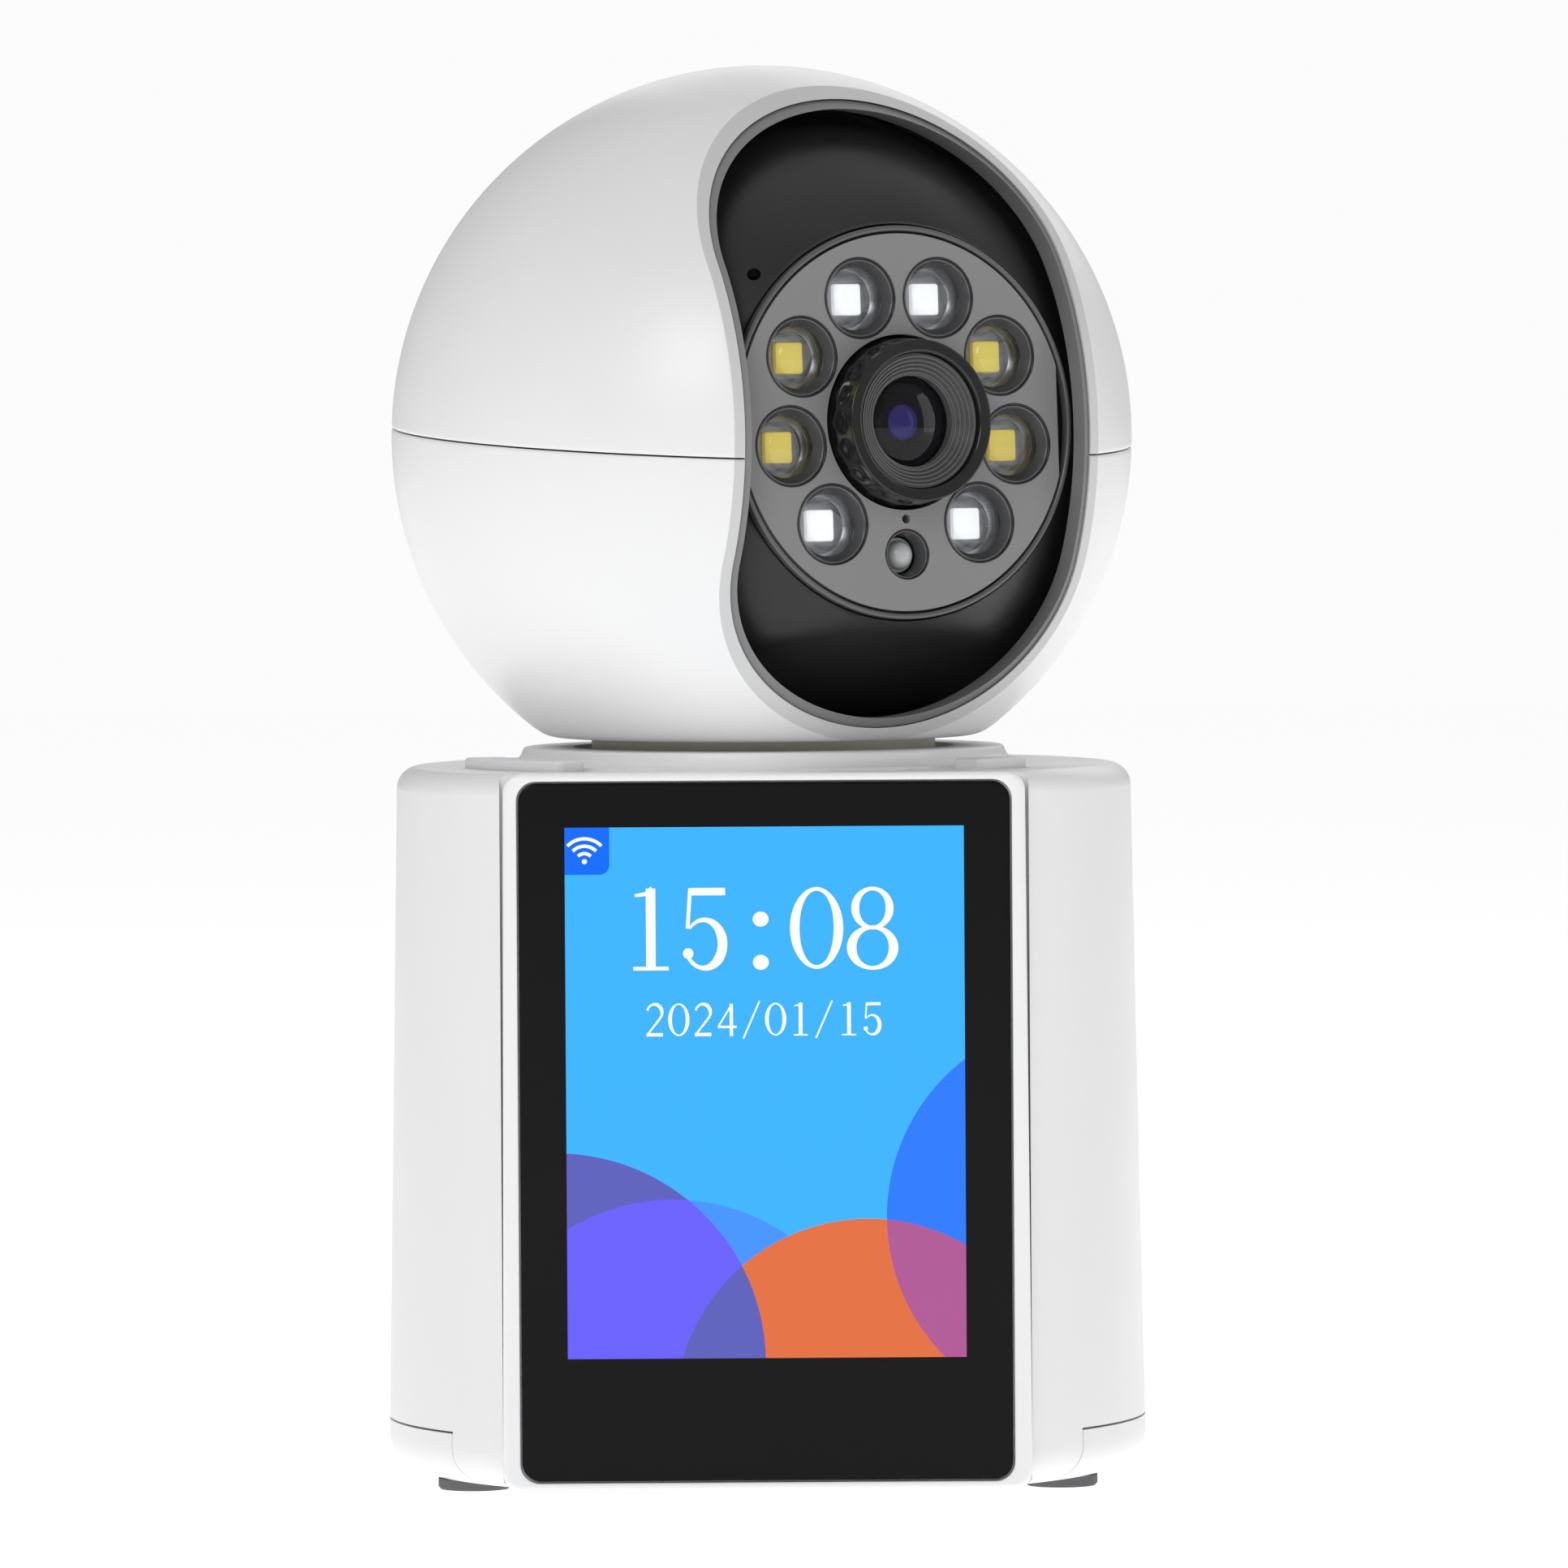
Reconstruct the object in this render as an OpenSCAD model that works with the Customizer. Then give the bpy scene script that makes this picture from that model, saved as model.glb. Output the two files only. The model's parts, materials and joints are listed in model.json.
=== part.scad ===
// Desk camera with a portrait colour screen: a drafted round base that carries the display,
// and a ball head that pans on the base and holds an eye module that tilts inside it.
// Millimetres, +Z up, the screen faces -Y, origin under the middle of the base.

/* [Base] */
// Radius of the base at its top edge
base_r_top = 40.6; // [39.8:0.1:41.2]
// Radius of the base at its foot
base_r_foot = 41.9; // [41.3:0.1:42.4]
// Height of the base's top face above the table
base_top = 79; // [78.8:0.1:79.2]
// Wall thickness of the base shell
base_wall = 2.2; // [1.9:0.1:2.3]
// Height of the seam between the shell and the bottom cover
seam_z = 7; // [6.6:0.1:7.4]
// How far the rubber feet lift the body
foot_h = 1.2; // [0.9:0.1:1.3]

/* [Display] */
// Width of the screen bezel
bezel_w = 57; // [56.4:0.1:57.2]
// Distance of the bezel's front face from the axis
bezel_front = 32; // [31.8:0.1:32.6]
// Width of the cover glass
glass_w = 53.2; // [52:0.1:53.4]
// Height of the cover glass
glass_h = 75.7; // [75:0.1:75.8]

/* [Ball head] */
// Outer radius of the ball
ball_r = 40.9; // [40.8:0.1:41.3]
// Height of the ball's centre
ball_z = 115.2; // [115.1:0.1:115.8]
// Distance from the ball's centre down to its flat bottom
ball_flat = 33.2; // [33.1:0.1:33.4]
// Slope of the seam between the ball's two shells
seam_slope = 3.6; // [2:0.1:5]
// Half of the window's width
window_half_w = 22.9; // [22.4:0.1:23.1]
// Pan angle at rest, measured from facing forwards
pan_rest = 30; // [-60:1:60]

/* [Eye] */
// Outer radius of the eye housing
eye_r = 37; // [36.6:0.1:37]
// Radius of the faceplate
plate_r = 20.5; // [20:0.1:20.6]
// Distance of the faceplate's front from the ball's centre
plate_front = 30.75; // [30.4:0.05:30.8]
// Radius of the circle that the lamps stand on
lamp_circle = 14.35; // [14.2:0.05:14.4]
// Angle of the eye above the horizontal at rest
tilt_rest = 3; // [-10:1:30]

/* [Gears] */
// Module of all the gears
gear_module = 0.8; // [0.75:0.05:0.8]
// Play between meshing teeth, measured along the pitch circle
backlash = 0.2; // [0.16:0.02:0.3]

/* [Hidden] */
$fn = 64;

gap = 0.3;                 // gap between pieces that move past each other
fit = 0.06;                // radial play of a shaft in its bush
big = 200;                 // longer than anything it cuts
arc_steps = 8;             // straight pieces in a quarter-round edge

// Base
body_foot = foot_h;
top_fillet = 2.5;
foot_fillet = 4;
top_plate = 2.4;
floor_plate = 2;
plate_under = base_top - top_plate;
tongue_y = -24;            // in front of this the shell itself runs down to the floor
bezel_back = 27.5;
bezel_side_play = 0.2;
cover_lip = 1.2;
lip_top = seam_z + 2;
boss_top = lip_top + gap;
foot_r = 4;
foot_places = [[32.2, -13.5], [-32.2, -13.5], [24, 25.5], [-24, 25.5]];
screw_r = 1;
screw_head_r = 2;

// Display
glass_z = 2.3;
glass_t = 1;
glass_recess = 0.1;
glass_play = 0.2;
lcd_w = 50;
lcd_h = 68.4;
lcd_z = 7.6;
lcd_front = bezel_front - glass_recess - glass_t - 0.1;
lcd_t = 1.4;
backlight_t = 1.4;
board_y = -25.2;
board_t = 1.6;
board_posts = [for (x = [-25.6, 25.6], z = [12, 68]) [x, z]];

// Speaker, inlet and reset button at the back
speaker_z = 36;
speaker_r = 17.5;
speaker_y = 33;
grille_step = 3.4;
grille_hole_r = 0.9;
inlet_z = 12.7;
inlet_w = 8.9;
inlet_h = 3.2;
inlet_mouth = 40;
reset_angle = 110;
reset_r = 1.5;
reset_z = 14.6;

// Keys on top
key_r_in = 30;
key_r_out = 34.5;
key_rise = 1.2;
key_bottom = base_top - 3.8;
key_flange_top = key_bottom + 0.8;
key_flange = 0.6;
call_arc = [197, 230];     // start and end angle of the long key
power_arc = [313, 327];    // start and end angle of the short key
key_board_z = 71;
key_board_t = 1.2;

// Pan drive
hub_r = 8;
hub_bore = 5;
hub_flange_r = 19;
hub_flange_z = 79.8;
hub_end = 64.5;
head_floor_z = ball_z - ball_flat;
bush_r = 10.3;
bush_flange_r = 13;
bush_flange_t = 0.4;
collar_in = 21;
collar_out = 28.5;
collar_neck = 26.6;
collar_top = 81;
pan_gear_teeth = 40;
pinion_teeth = 14;
pinion_turn = 180 / pinion_teeth;   // puts a gap between teeth opposite the gear's tooth
gear_z = 66;
gear_t = 5;
pan_motor_angle = 150;
pan_motor_r = 12;
pan_motor_h = 17;
bracket_z = 62.2;
bracket_t = 1.6;
bracket_posts = [[34, 9], [34, -9], [8, 18.5], [8, -18.5]];
motor_boss_r = 4.5;
motor_shaft_r = 1.5;

// Ball and eye
ball_wall = 2.2;
ball_in = ball_r - ball_wall;
floor_in = ball_flat - 1.6;
ball_seam = 0.2;
rear_posts = [[21, 27.5], [-21, 27.5]];
plug_r = 2.2;
board_holes = [[13, -10], [-13, -10]];
mic_angles = [-30.5, 26];   // left of and above the eye's axis
window_top_z = 18.9;       // centre of the window's upper round end
window_foot_z = -13.3;     // centre of its lower round end
window_rise = 19.5;        // height of the upper round end
window_drop = 19.9;        // height of the lower round end
window_bevel = [0.8, 1.3];  // from the window's outline to the shell's edge, at the sides and ends
trim_edge = [1.5, 2.4];     // from the window's outline to the trim's inner edge
trim_in = 38.1;
trim_out = 40;
tilt_down = -20;           // lowest angle of the eye
chin_r = 30.9;             // the eye's lower part clears the floor of the ball
chin_from = -90 - tilt_down;
eye_back_top = 92;
eye_back_foot = -118;
eye_half_w = 25.8;
eye_wall = 1.8;
arm_in = 28.6;
arm_t = 2.2;
arm_foot_z = -22;
arm_half_w = 8;
trunnion_r = 4;
tilt_gear_teeth = 30;
tilt_gear_in = 26.4;
tilt_motor_r = 7.8;
tilt_motor_l = 15;
tilt_motor_angle = 75;
// Angle of the gear's teeth about the tilt axis, seen from the right, that puts a tooth on the pinion
tilt_mesh_angle = 180 - tilt_motor_angle - tilt_rest;
plate_t = 1.4;
plate_flat = 19.6;
lamp_hole_r = 4.3;
lamp_dome_r = 2.8;
sensor_hole_r = 2.65;
lamp_angles = [-50, -10, 30, 70, 110, 150, 190, 230];
white_angles = [-50, 70, 110, 230];
warm_angles = [-10, 30, 150, 190];
lamp_board_front = 27.2;
barrel_r = 9.45;
barrel_tip_r = 8.8;
barrel_tip = plate_front + 4;
barrel_back = 28.6;

white = [0.93, 0.93, 0.94];
black = [0.08, 0.08, 0.09];
grey = [0.47, 0.47, 0.48];
steel = [0.72, 0.73, 0.75];
board_green = [0.05, 0.32, 0.2];
acetal = [0.9, 0.88, 0.82];

// Points along an arc about c, from angle a to angle b
function arc(c, r, a, b, n = arc_steps) =
    [for (i = [0:n]) c + r * [cos(a + (b - a) * i / n), sin(a + (b - a) * i / n)]];

// Half-ellipse about [0, z], running from angle a to angle b
function bow(z, rx, rz, a, b, n = 24) =
    [for (i = [0:n]) [rx * cos(a + (b - a) * i / n), z + rz * sin(a + (b - a) * i / n)]];

// Rectangle of half-width hw0 at z0 and hw1 at z1 with round corners
function rounded_panel(hw0, hw1, z0, z1, r) = concat(
    arc([hw0 - r, z0 + r], r, -90, 0), arc([hw1 - r, z1 - r], r, 0, 90),
    arc([r - hw1, z1 - r], r, 90, 180), arc([r - hw0, z0 + r], r, 180, 270));

// Polar angle of an involute of base radius rb where it reaches radius r
function involute(rb, r) = let (t = sqrt(max(0, (r / rb) * (r / rb) - 1))) t * 180 / PI - atan(t);

// Outline of a spur gear with its first tooth on +X
function gear_outline(teeth) = let (
    rp = gear_module * teeth / 2,
    rb = rp * cos(20),
    tip = rp + 0.8 * gear_module,
    root = rp - 1.05 * gear_module,
    start = max(rb, root),
    half = 90 / teeth - backlash / 4 / rp * 180 / PI,
    radii = [for (i = [0:3]) start + (tip - start) * i / 3],
    flank = [for (r = radii) [r, half + involute(rb, rp) - involute(rb, r)]],
    right = concat([[root, flank[0][1]]], flank),
    n = len(right))
    [for (k = [0:teeth - 1], j = [0:2 * n - 1])
        let (p = j < n ? right[j] : right[2 * n - 1 - j],
             a = 360 * k / teeth + (j < n ? -p[1] : p[1]))
        p[0] * [cos(a), sin(a)]];

function pitch_r(teeth) = gear_module * teeth / 2;
pan_centre = pitch_r(pan_gear_teeth) + pitch_r(pinion_teeth);
tilt_centre = pitch_r(tilt_gear_teeth) + pitch_r(pinion_teeth);

// Places
module in_head() { translate([0, 0, ball_z]) rotate([0, 0, pan_rest]) children(); }
module in_eye() { in_head() rotate([-tilt_rest, 0, 0]) children(); }
module facing_front() { rotate([90, 0, 0]) children(); }
module facing_right() { rotate([0, 90, 0]) rotate([0, 0, 90]) children(); }
module at_lamps(angles, f = 0) {
    for (a = angles)
        translate([lamp_circle * cos(a), -f, lamp_circle * sin(a)]) facing_front() children();
}
module at_pan_motor() { rotate([0, 0, pan_motor_angle]) children(); }

// A cylinder along -Y between the distances f0 and f1
module front_rod(r, f0, f1) { facing_front() translate([0, 0, f0]) cylinder(r = r, h = f1 - f0); }
// A plate in the XZ plane between the distances f0 and f1
module front_plate(points, f0, f1) {
    facing_front() translate([0, 0, f0]) linear_extrude(f1 - f0) polygon(points);
}
module box(x, y, z) { translate([x[0], y[0], z[0]]) cube([x[1] - x[0], y[1] - y[0], z[1] - z[0]]); }
module ring(r_out, r_in, z0, z1) {
    difference() {
        translate([0, 0, z0]) cylinder(r = r_out, h = z1 - z0);
        translate([0, 0, z0 - 1]) cylinder(r = r_in, h = z1 - z0 + 2);
    }
}
module arc_block(r0, r1, a, z0, z1) {
    rotate([0, 0, a[0]]) rotate_extrude(angle = a[1] - a[0])
        translate([r0, z0]) square([r1 - r0, z1 - z0]);
}

// ---- Base ----

module base_solid() {
    rotate_extrude() polygon(concat([[0, body_foot]],
        arc([base_r_foot - foot_fillet, body_foot + foot_fillet], foot_fillet, -90, 0),
        arc([base_r_top - top_fillet, base_top - top_fillet], top_fillet, 0, 90),
        [[0, base_top]]));
}

module base_hollow() {
    rotate_extrude() polygon([[0, body_foot + floor_plate],
        [base_r_foot - base_wall, body_foot + floor_plate],
        [base_r_top - base_wall, plate_under], [0, plate_under]]);
}

// Everything under the seam and behind the tongue, which is the bottom cover's space
module cover_space(top, front) { box([-big, big], [front, big], [-1, top]); }

module grille_holes() {
    reach = 14.5;
    for (i = [-4:4], j = [-4:4]) {
        x = grille_step * (i + (j % 2 == 0 ? 0 : 0.5));
        z = grille_step * 0.866 * j;
        if (norm([x, z]) < reach)
            translate([x, speaker_y, speaker_z + z]) rotate([-90, 0, 0])
                cylinder(r = grille_hole_r, h = 20, $fn = 20);
    }
}

module inlet_slot(w, h, y0, y1) {
    hull_x = w / 2 - h / 2;
    for (s = [-1, 1])
        translate([s * hull_x, y1, inlet_z]) rotate([90, 0, 0]) cylinder(r = h / 2, h = y1 - y0);
    box([-hull_x, hull_x], [y0, y1], [inlet_z - h / 2, inlet_z + h / 2]);
}

module base_shell() {
    color(white) difference() {
        union() {
            difference() {
                base_solid();
                base_hollow();
                cover_space(seam_z + 0.12, tongue_y);
            }
            // Posts that the bottom cover screws into, each with a rib to the wall
            for (p = foot_places) {
                translate([p[0], p[1], boss_top]) cylinder(r = 2.4, h = 10);
                intersection() {
                    base_solid();
                    rotate([0, 0, atan2(p[1], p[0])])
                        box([norm(p), 41], [-1, 1], [boss_top + 1, boss_top + 9]);
                }
            }
            // Posts that hold the motor bracket
            at_pan_motor() for (p = bracket_posts)
                translate([p[0], p[1], bracket_z + bracket_t])
                    cylinder(r = 2, h = plate_under - bracket_z - bracket_t + 0.5);
            // Sleeve that holds the speaker
            intersection() {
                base_solid();
                translate([0, speaker_y - 3, speaker_z]) rotate([-90, 0, 0])
                    ring(speaker_r + 1.6, speaker_r + 0.1, 0, 12);
            }
        }
        // Front opening for the screen bezel
        box([-bezel_w / 2 - bezel_side_play, bezel_w / 2 + bezel_side_play], [-big, -bezel_back], [-1, big]);
        translate([0, 0, plate_under - 1]) cylinder(r = bush_r, h = 5);
        for (a = [call_arc, power_arc])
            arc_block(key_r_in - gap, key_r_out + gap, [a[0] - 0.5, a[1] + 0.5], plate_under - 1, big);
        grille_holes();
        inlet_slot(inlet_w + 1.6, inlet_h + 1.6, 36, 50);
        rotate([0, 0, reset_angle]) translate([36, 0, reset_z]) rotate([0, 90, 0])
            cylinder(r = reset_r + gap, h = 10);
        for (p = foot_places) translate([p[0], p[1], boss_top - 1]) cylinder(r = screw_r, h = 9);
        at_pan_motor() for (p = bracket_posts)
            translate([p[0], p[1], bracket_z]) cylinder(r = screw_r, h = 8);
    }
}

module bottom_cover() {
    r = base_r_foot - base_wall - 0.15;
    color(white) difference() {
        union() {
            difference() {
                intersection() {
                    base_solid();
                    cover_space(seam_z - 0.12, tongue_y + 0.2);
                }
                base_hollow();
            }
            intersection() {
                ring(r, r - cover_lip, body_foot + 1, lip_top);
                cover_space(big, tongue_y + 0.2);
            }
            for (p = foot_places)
                translate([p[0], p[1], body_foot + 1]) cylinder(r = 3.4, h = lip_top - body_foot - 1);
        }
        for (p = foot_places) {
            translate([p[0], p[1], 0]) cylinder(r = screw_head_r + 0.3, h = 5.2);
            translate([p[0], p[1], 0]) cylinder(r = screw_r + 0.1, h = 20);
        }
        // Above the seam only the lip stands, clear of the shell's wall
        ring(big, r, seam_z - 0.12, big);
    }
}

module rubber_feet() {
    color([0.2, 0.2, 0.21]) for (p = foot_places) translate([p[0], p[1], 0]) {
        cylinder(r1 = foot_r - 0.3, r2 = foot_r, h = 0.3);
        translate([0, 0, 0.3]) cylinder(r = foot_r, h = body_foot - 0.3);
        cylinder(r = screw_head_r + 0.2, h = 3);
    }
}

module cover_screws() {
    color(steel) for (p = foot_places) translate([p[0], p[1], 0]) {
        translate([0, 0, 3.8]) cylinder(r = screw_head_r, h = 1.4);
        translate([0, 0, 5.2]) cylinder(r = screw_r - 0.02, h = 10);
    }
}

module screen_bezel() {
    color(white) difference() {
        union() {
            front_plate(rounded_panel(bezel_w / 2 + 0.2, bezel_w / 2 - 0.25, 1.25, base_top + 0.1, 2),
                bezel_back, bezel_front);
            for (p = board_posts) translate([p[0], 0, p[1]])
                front_rod(1.2, -board_y, bezel_back + 1);
        }
        front_plate(rounded_panel(glass_w / 2 + glass_play, glass_w / 2 + glass_play,
            glass_z - glass_play, glass_z + glass_h + glass_play, 2.1),
            bezel_front - glass_recess - glass_t - 0.05, bezel_front + 1);
        box([-lcd_w / 2 - 0.2, lcd_w / 2 + 0.2], [-bezel_front - 1, -bezel_back + 0.001],
            [lcd_z - 0.2, lcd_z + lcd_h + 0.2]);
        for (p = board_posts) translate([p[0], 0, p[1]]) front_rod(0.8, -board_y - 1, bezel_back + 1.5);
    }
}

module screen_glass() {
    color(black) front_plate(rounded_panel(glass_w / 2, glass_w / 2, glass_z, glass_z + glass_h, 2),
        bezel_front - glass_recess - glass_t, bezel_front - glass_recess);
}

module lcd_panel() {
    color([0.2, 0.55, 0.8]) box([-lcd_w / 2, lcd_w / 2], [-lcd_front, -lcd_front + lcd_t],
        [lcd_z, lcd_z + lcd_h]);
}

module backlight() {
    y = -lcd_front + lcd_t + 0.05;
    color([0.85, 0.86, 0.88]) box([-lcd_w / 2, lcd_w / 2], [y, y + backlight_t], [lcd_z, lcd_z + lcd_h]);
}

module main_board() {
    color(board_green) difference() {
        box([-27.4, 27.4], [board_y, board_y + board_t], [9, 71]);
        for (p = board_posts) translate([p[0], 0, p[1]]) front_rod(0.9, 20, 30);
    }
}

module shield_can() {
    y = board_y + board_t;
    color(steel) box([-12, 9], [y, y + 2.4], [28, 50]);
}

module board_screws() {
    y = -(board_y + board_t);
    color(steel) for (p = board_posts) translate([p[0], 0, p[1]]) {
        front_rod(0.78, y, bezel_back);
        front_rod(1.5, y - 0.9, y);
    }
}

module wifi_antenna() {
    color([0.75, 0.6, 0.2]) rotate([0, 0, 20]) box([36, 36.6], [-9, 9], [48, 56]);
}

module speaker_basket() {
    color(steel) translate([0, speaker_y, speaker_z]) rotate([90, 0, 0]) {
        difference() {
            cylinder(r = speaker_r, h = 2.5);
            translate([0, 0, -1]) cylinder(r = speaker_r - 1.5, h = 2.5);
        }
        translate([0, 0, 2.5]) cylinder(r = 11, h = 6.5);
    }
}

module speaker_cone() {
    color(black) translate([0, speaker_y, speaker_z]) rotate([90, 0, 0]) difference() {
        translate([0, 0, 0.2]) cylinder(r = speaker_r - 1.6, h = 1.2);
        translate([0, 0, 0.1]) cylinder(r1 = 9, r2 = 7, h = 0.9);
    }
}

module inlet_board() {
    color(board_green) intersection() {
        box([-18, 10], [26, 40], [inlet_z - inlet_h / 2 - 1.2, inlet_z - inlet_h / 2]);
        cylinder(r = 38.7, h = 40);
    }
}

module usb_inlet() {
    color(steel) {
        difference() {
            inlet_slot(inlet_w, inlet_h, 32.5, inlet_mouth);
            inlet_slot(inlet_w - 0.6, inlet_h - 0.6, 34, 50);
        }
        box([-3.3, 3.3], [33.5, 39], [inlet_z - 0.35, inlet_z + 0.35]);
    }
}

module key_board() {
    color(board_green) for (a = [call_arc, power_arc])
        arc_block(28, 36.5, a, key_board_z, key_board_z + key_board_t);
}

module key_switches() {
    z = key_board_z + key_board_t;
    r = (key_r_in + key_r_out) / 2;
    color(black) for (a = [call_arc, power_arc]) rotate([0, 0, (a[0] + a[1]) / 2]) {
        box([r - 1.7, r + 1.7], [-1.7, 1.7], [z, z + 1.6]);
        translate([r, 0, z + 1.6]) cylinder(r = 0.9, h = 0.7);
    }
    // The reset button's switch stands on the inlet board
    color(black) rotate([0, 0, reset_angle]) {
        box([31.4, 34.4], [-1.7, 1.7], [inlet_z - inlet_h / 2, reset_z + 1.7]);
        translate([34.4, 0, reset_z]) rotate([0, 90, 0]) cylinder(r = 0.9, h = 0.8);
    }
}

module key(a) {
    color(white) {
        arc_block(key_r_in, key_r_out, a, key_bottom, base_top + key_rise);
        arc_block(key_r_in - key_flange, key_r_out + key_flange, [a[0] - 1.5, a[1] + 1.5],
            key_bottom, key_flange_top);
    }
}

module call_key() { key(call_arc); }

module power_key() { key(power_arc); }

module reset_button() {
    color(grey) rotate([0, 0, reset_angle]) translate([0, 0, reset_z]) rotate([0, 90, 0]) {
        translate([0, 0, 36.6]) cylinder(r = reset_r, h = 4.7);
        translate([0, 0, 35.8]) cylinder(r = 1.8, h = 0.8);
    }
}

module neck_collar() {
    color(white) difference() {
        rotate_extrude() polygon(concat([[collar_in, base_top], [collar_out, base_top]],
            arc([collar_out - 1.4, base_top + 0.6], 1.1, 0, 60, 4),
            arc([collar_neck - 0.5, collar_top - 0.5], 0.5, 50, 90, 3), [[collar_in, collar_top]]));
        // The bezel's top edge stands a little above the base
        box([-big, big], [-big, -bezel_back], [0, base_top + 0.15]);
    }
}

module pan_bush() {
    color(acetal) difference() {
        union() {
            translate([0, 0, plate_under - 1]) cylinder(r = bush_r - 0.02, h = top_plate + 1);
            translate([0, 0, base_top]) cylinder(r = bush_flange_r, h = bush_flange_t);
        }
        cylinder(r = hub_r + fit, h = big);
    }
}

module motor_bracket() {
    color(steel) at_pan_motor() difference() {
        intersection() {
            box([5, 38], [-21.5, 21.5], [bracket_z, bracket_z + bracket_t]);
            cylinder(r = 37.4, h = big);
        }
        translate([pan_centre, 0, 0]) cylinder(r = motor_boss_r + 0.2, h = big);
        for (p = bracket_posts) translate([p[0], p[1], 0]) cylinder(r = screw_r + 0.15, h = big);
    }
}

module bracket_screws() {
    color(steel) at_pan_motor() for (p = bracket_posts) translate([p[0], p[1], 0]) {
        translate([0, 0, bracket_z - 1.2]) cylinder(r = screw_head_r - 0.1, h = 1.2);
        translate([0, 0, bracket_z]) cylinder(r = screw_r - 0.02, h = 7);
    }
}

module pan_motor() {
    color(steel) at_pan_motor() translate([pan_centre, 0, 0]) difference() {
        union() {
            translate([0, 0, bracket_z - pan_motor_h]) cylinder(r = pan_motor_r, h = pan_motor_h);
            translate([0, 0, bracket_z]) cylinder(r = motor_boss_r, h = bracket_t - 0.1);
        }
        translate([0, 0, bracket_z - 8]) cylinder(r = motor_shaft_r + fit, h = big);
    }
}

module pan_motor_shaft() {
    color(steel) at_pan_motor() translate([pan_centre, 0, bracket_z - 7.6])
        cylinder(r = motor_shaft_r, h = 17);
}

module pinion(h) {
    linear_extrude(h) difference() {
        rotate([0, 0, 180 + 180 / pinion_teeth]) polygon(gear_outline(pinion_teeth));
        circle(r = motor_shaft_r);
    }
}

module pan_pinion() {
    color(acetal) at_pan_motor() translate([pan_centre, 0, gear_z - 0.6]) pinion(gear_t + 1.2);
}

// ---- Ball head ----

// The ball, or a smaller ball inside it, with its flat bottom
module ball_solid(r, flat) {
    intersection() {
        sphere(r = r, $fn = 96);
        box([-big, big], [-big, big], [-flat, big]);
    }
}

module above_seam(z) { rotate([seam_slope, 0, 0]) box([-big, big], [-big, big], [z, big]); }

// Outline of the window's upper or lower half, drawn in by w = [at the sides, at the ends]
function window_upper(w) = concat([[window_half_w - w[0], 0]],
    bow(window_top_z, window_half_w - w[0], window_rise - w[1], 0, 180), [[w[0] - window_half_w, 0]]);
function window_lower(w) = concat([[w[0] - window_half_w, 0.1]],
    bow(window_foot_z, window_half_w - w[0], window_drop - w[1], 180, 360),
    [[window_half_w - w[0], 0.1]]);

module window_prism(w) {
    front_plate(window_upper(w), 4, 60);
    front_plate(window_lower(w), 21.5, 60);
}

module ball_skin() {
    difference() {
        ball_solid(ball_r, ball_flat);
        ball_solid(ball_in, floor_in);
        window_prism(window_bevel);
    }
}

module upper_shell() {
    color(white) in_head() difference() {
        union() {
            intersection() {
                ball_skin();
                above_seam(ball_seam / 2);
            }
            intersection() {
                ball_solid(ball_r - 1, ball_flat);
                for (p = rear_posts) translate([p[0], p[1], 2]) cylinder(r = 2.4, h = 6);
            }
            intersection() {
                ball_solid(ball_r - 1, ball_flat);
                for (p = rear_posts)
                    rotate([0, 0, atan2(p[1], p[0])]) box([norm(p), 41], [-1, 1], [3, 7]);
            }
        }
        for (p = rear_posts) translate([p[0], p[1], -5]) cylinder(r = screw_r, h = 12);
    }
}

module lower_shell() {
    color(white) in_head() difference() {
        union() {
            intersection() {
                ball_skin();
                mirror([0, 0, 1]) mirror([0, 1, 0]) above_seam(ball_seam / 2);
            }
            intersection() {
                ball_solid(ball_r - 1, ball_flat);
                union() {
                    for (p = rear_posts) {
                        translate([p[0], p[1], -9]) cylinder(r = 2.4, h = 10.6);
                        rotate([0, 0, atan2(p[1], p[0])]) box([norm(p), 41], [-1, 1], [-8, 0.5]);
                    }
                    for (p = board_holes) translate([p[0], 28.4, p[1]]) rotate([-90, 0, 0])
                        cylinder(r = 1.6, h = 12);
                    // Seats of the two side arms
                    for (s = [-1, 1]) box([s > 0 ? 26.6 : -35, s > 0 ? 35 : -26.6],
                        [-arm_half_w, arm_half_w], [-32, arm_foot_z]);
                }
            }
        }
        rotate([0, 0, 20]) translate([0, 0, -40]) cylinder(r = hub_bore, h = 10);
        for (a = [45:90:315]) rotate([0, 0, a]) translate([15, 0, -40]) cylinder(r = screw_r, h = 8.2);
        for (p = rear_posts) {
            translate([p[0], p[1], -20]) cylinder(r = screw_r + 0.1, h = 40);
            translate([p[0], p[1], -30]) cylinder(r = plug_r, h = 22.6);
        }
        for (p = board_holes) translate([p[0], 28, p[1]]) rotate([-90, 0, 0]) cylinder(r = 0.8, h = 5);
        for (x = [-28.4, 28.4], y = [-5.5, 5.5])
            translate([x, y, arm_foot_z - 4]) cylinder(r = 0.8, h = 5);
    }
}

module window_trim() {
    color(grey) in_head() difference() {
        intersection() {
            difference() {
                sphere(r = trim_out, $fn = 96);
                sphere(r = trim_in, $fn = 96);
            }
            window_prism(window_bevel + [0.05, 0.05]);
        }
        window_prism(trim_edge);
    }
}

module shell_screws() {
    color(steel) in_head() for (p = rear_posts) translate([p[0], p[1], 0]) {
        translate([0, 0, -7.4 - 1.3]) cylinder(r = screw_head_r, h = 1.3);
        translate([0, 0, -7.4]) cylinder(r = screw_r - 0.02, h = 13.8);
    }
}

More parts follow.
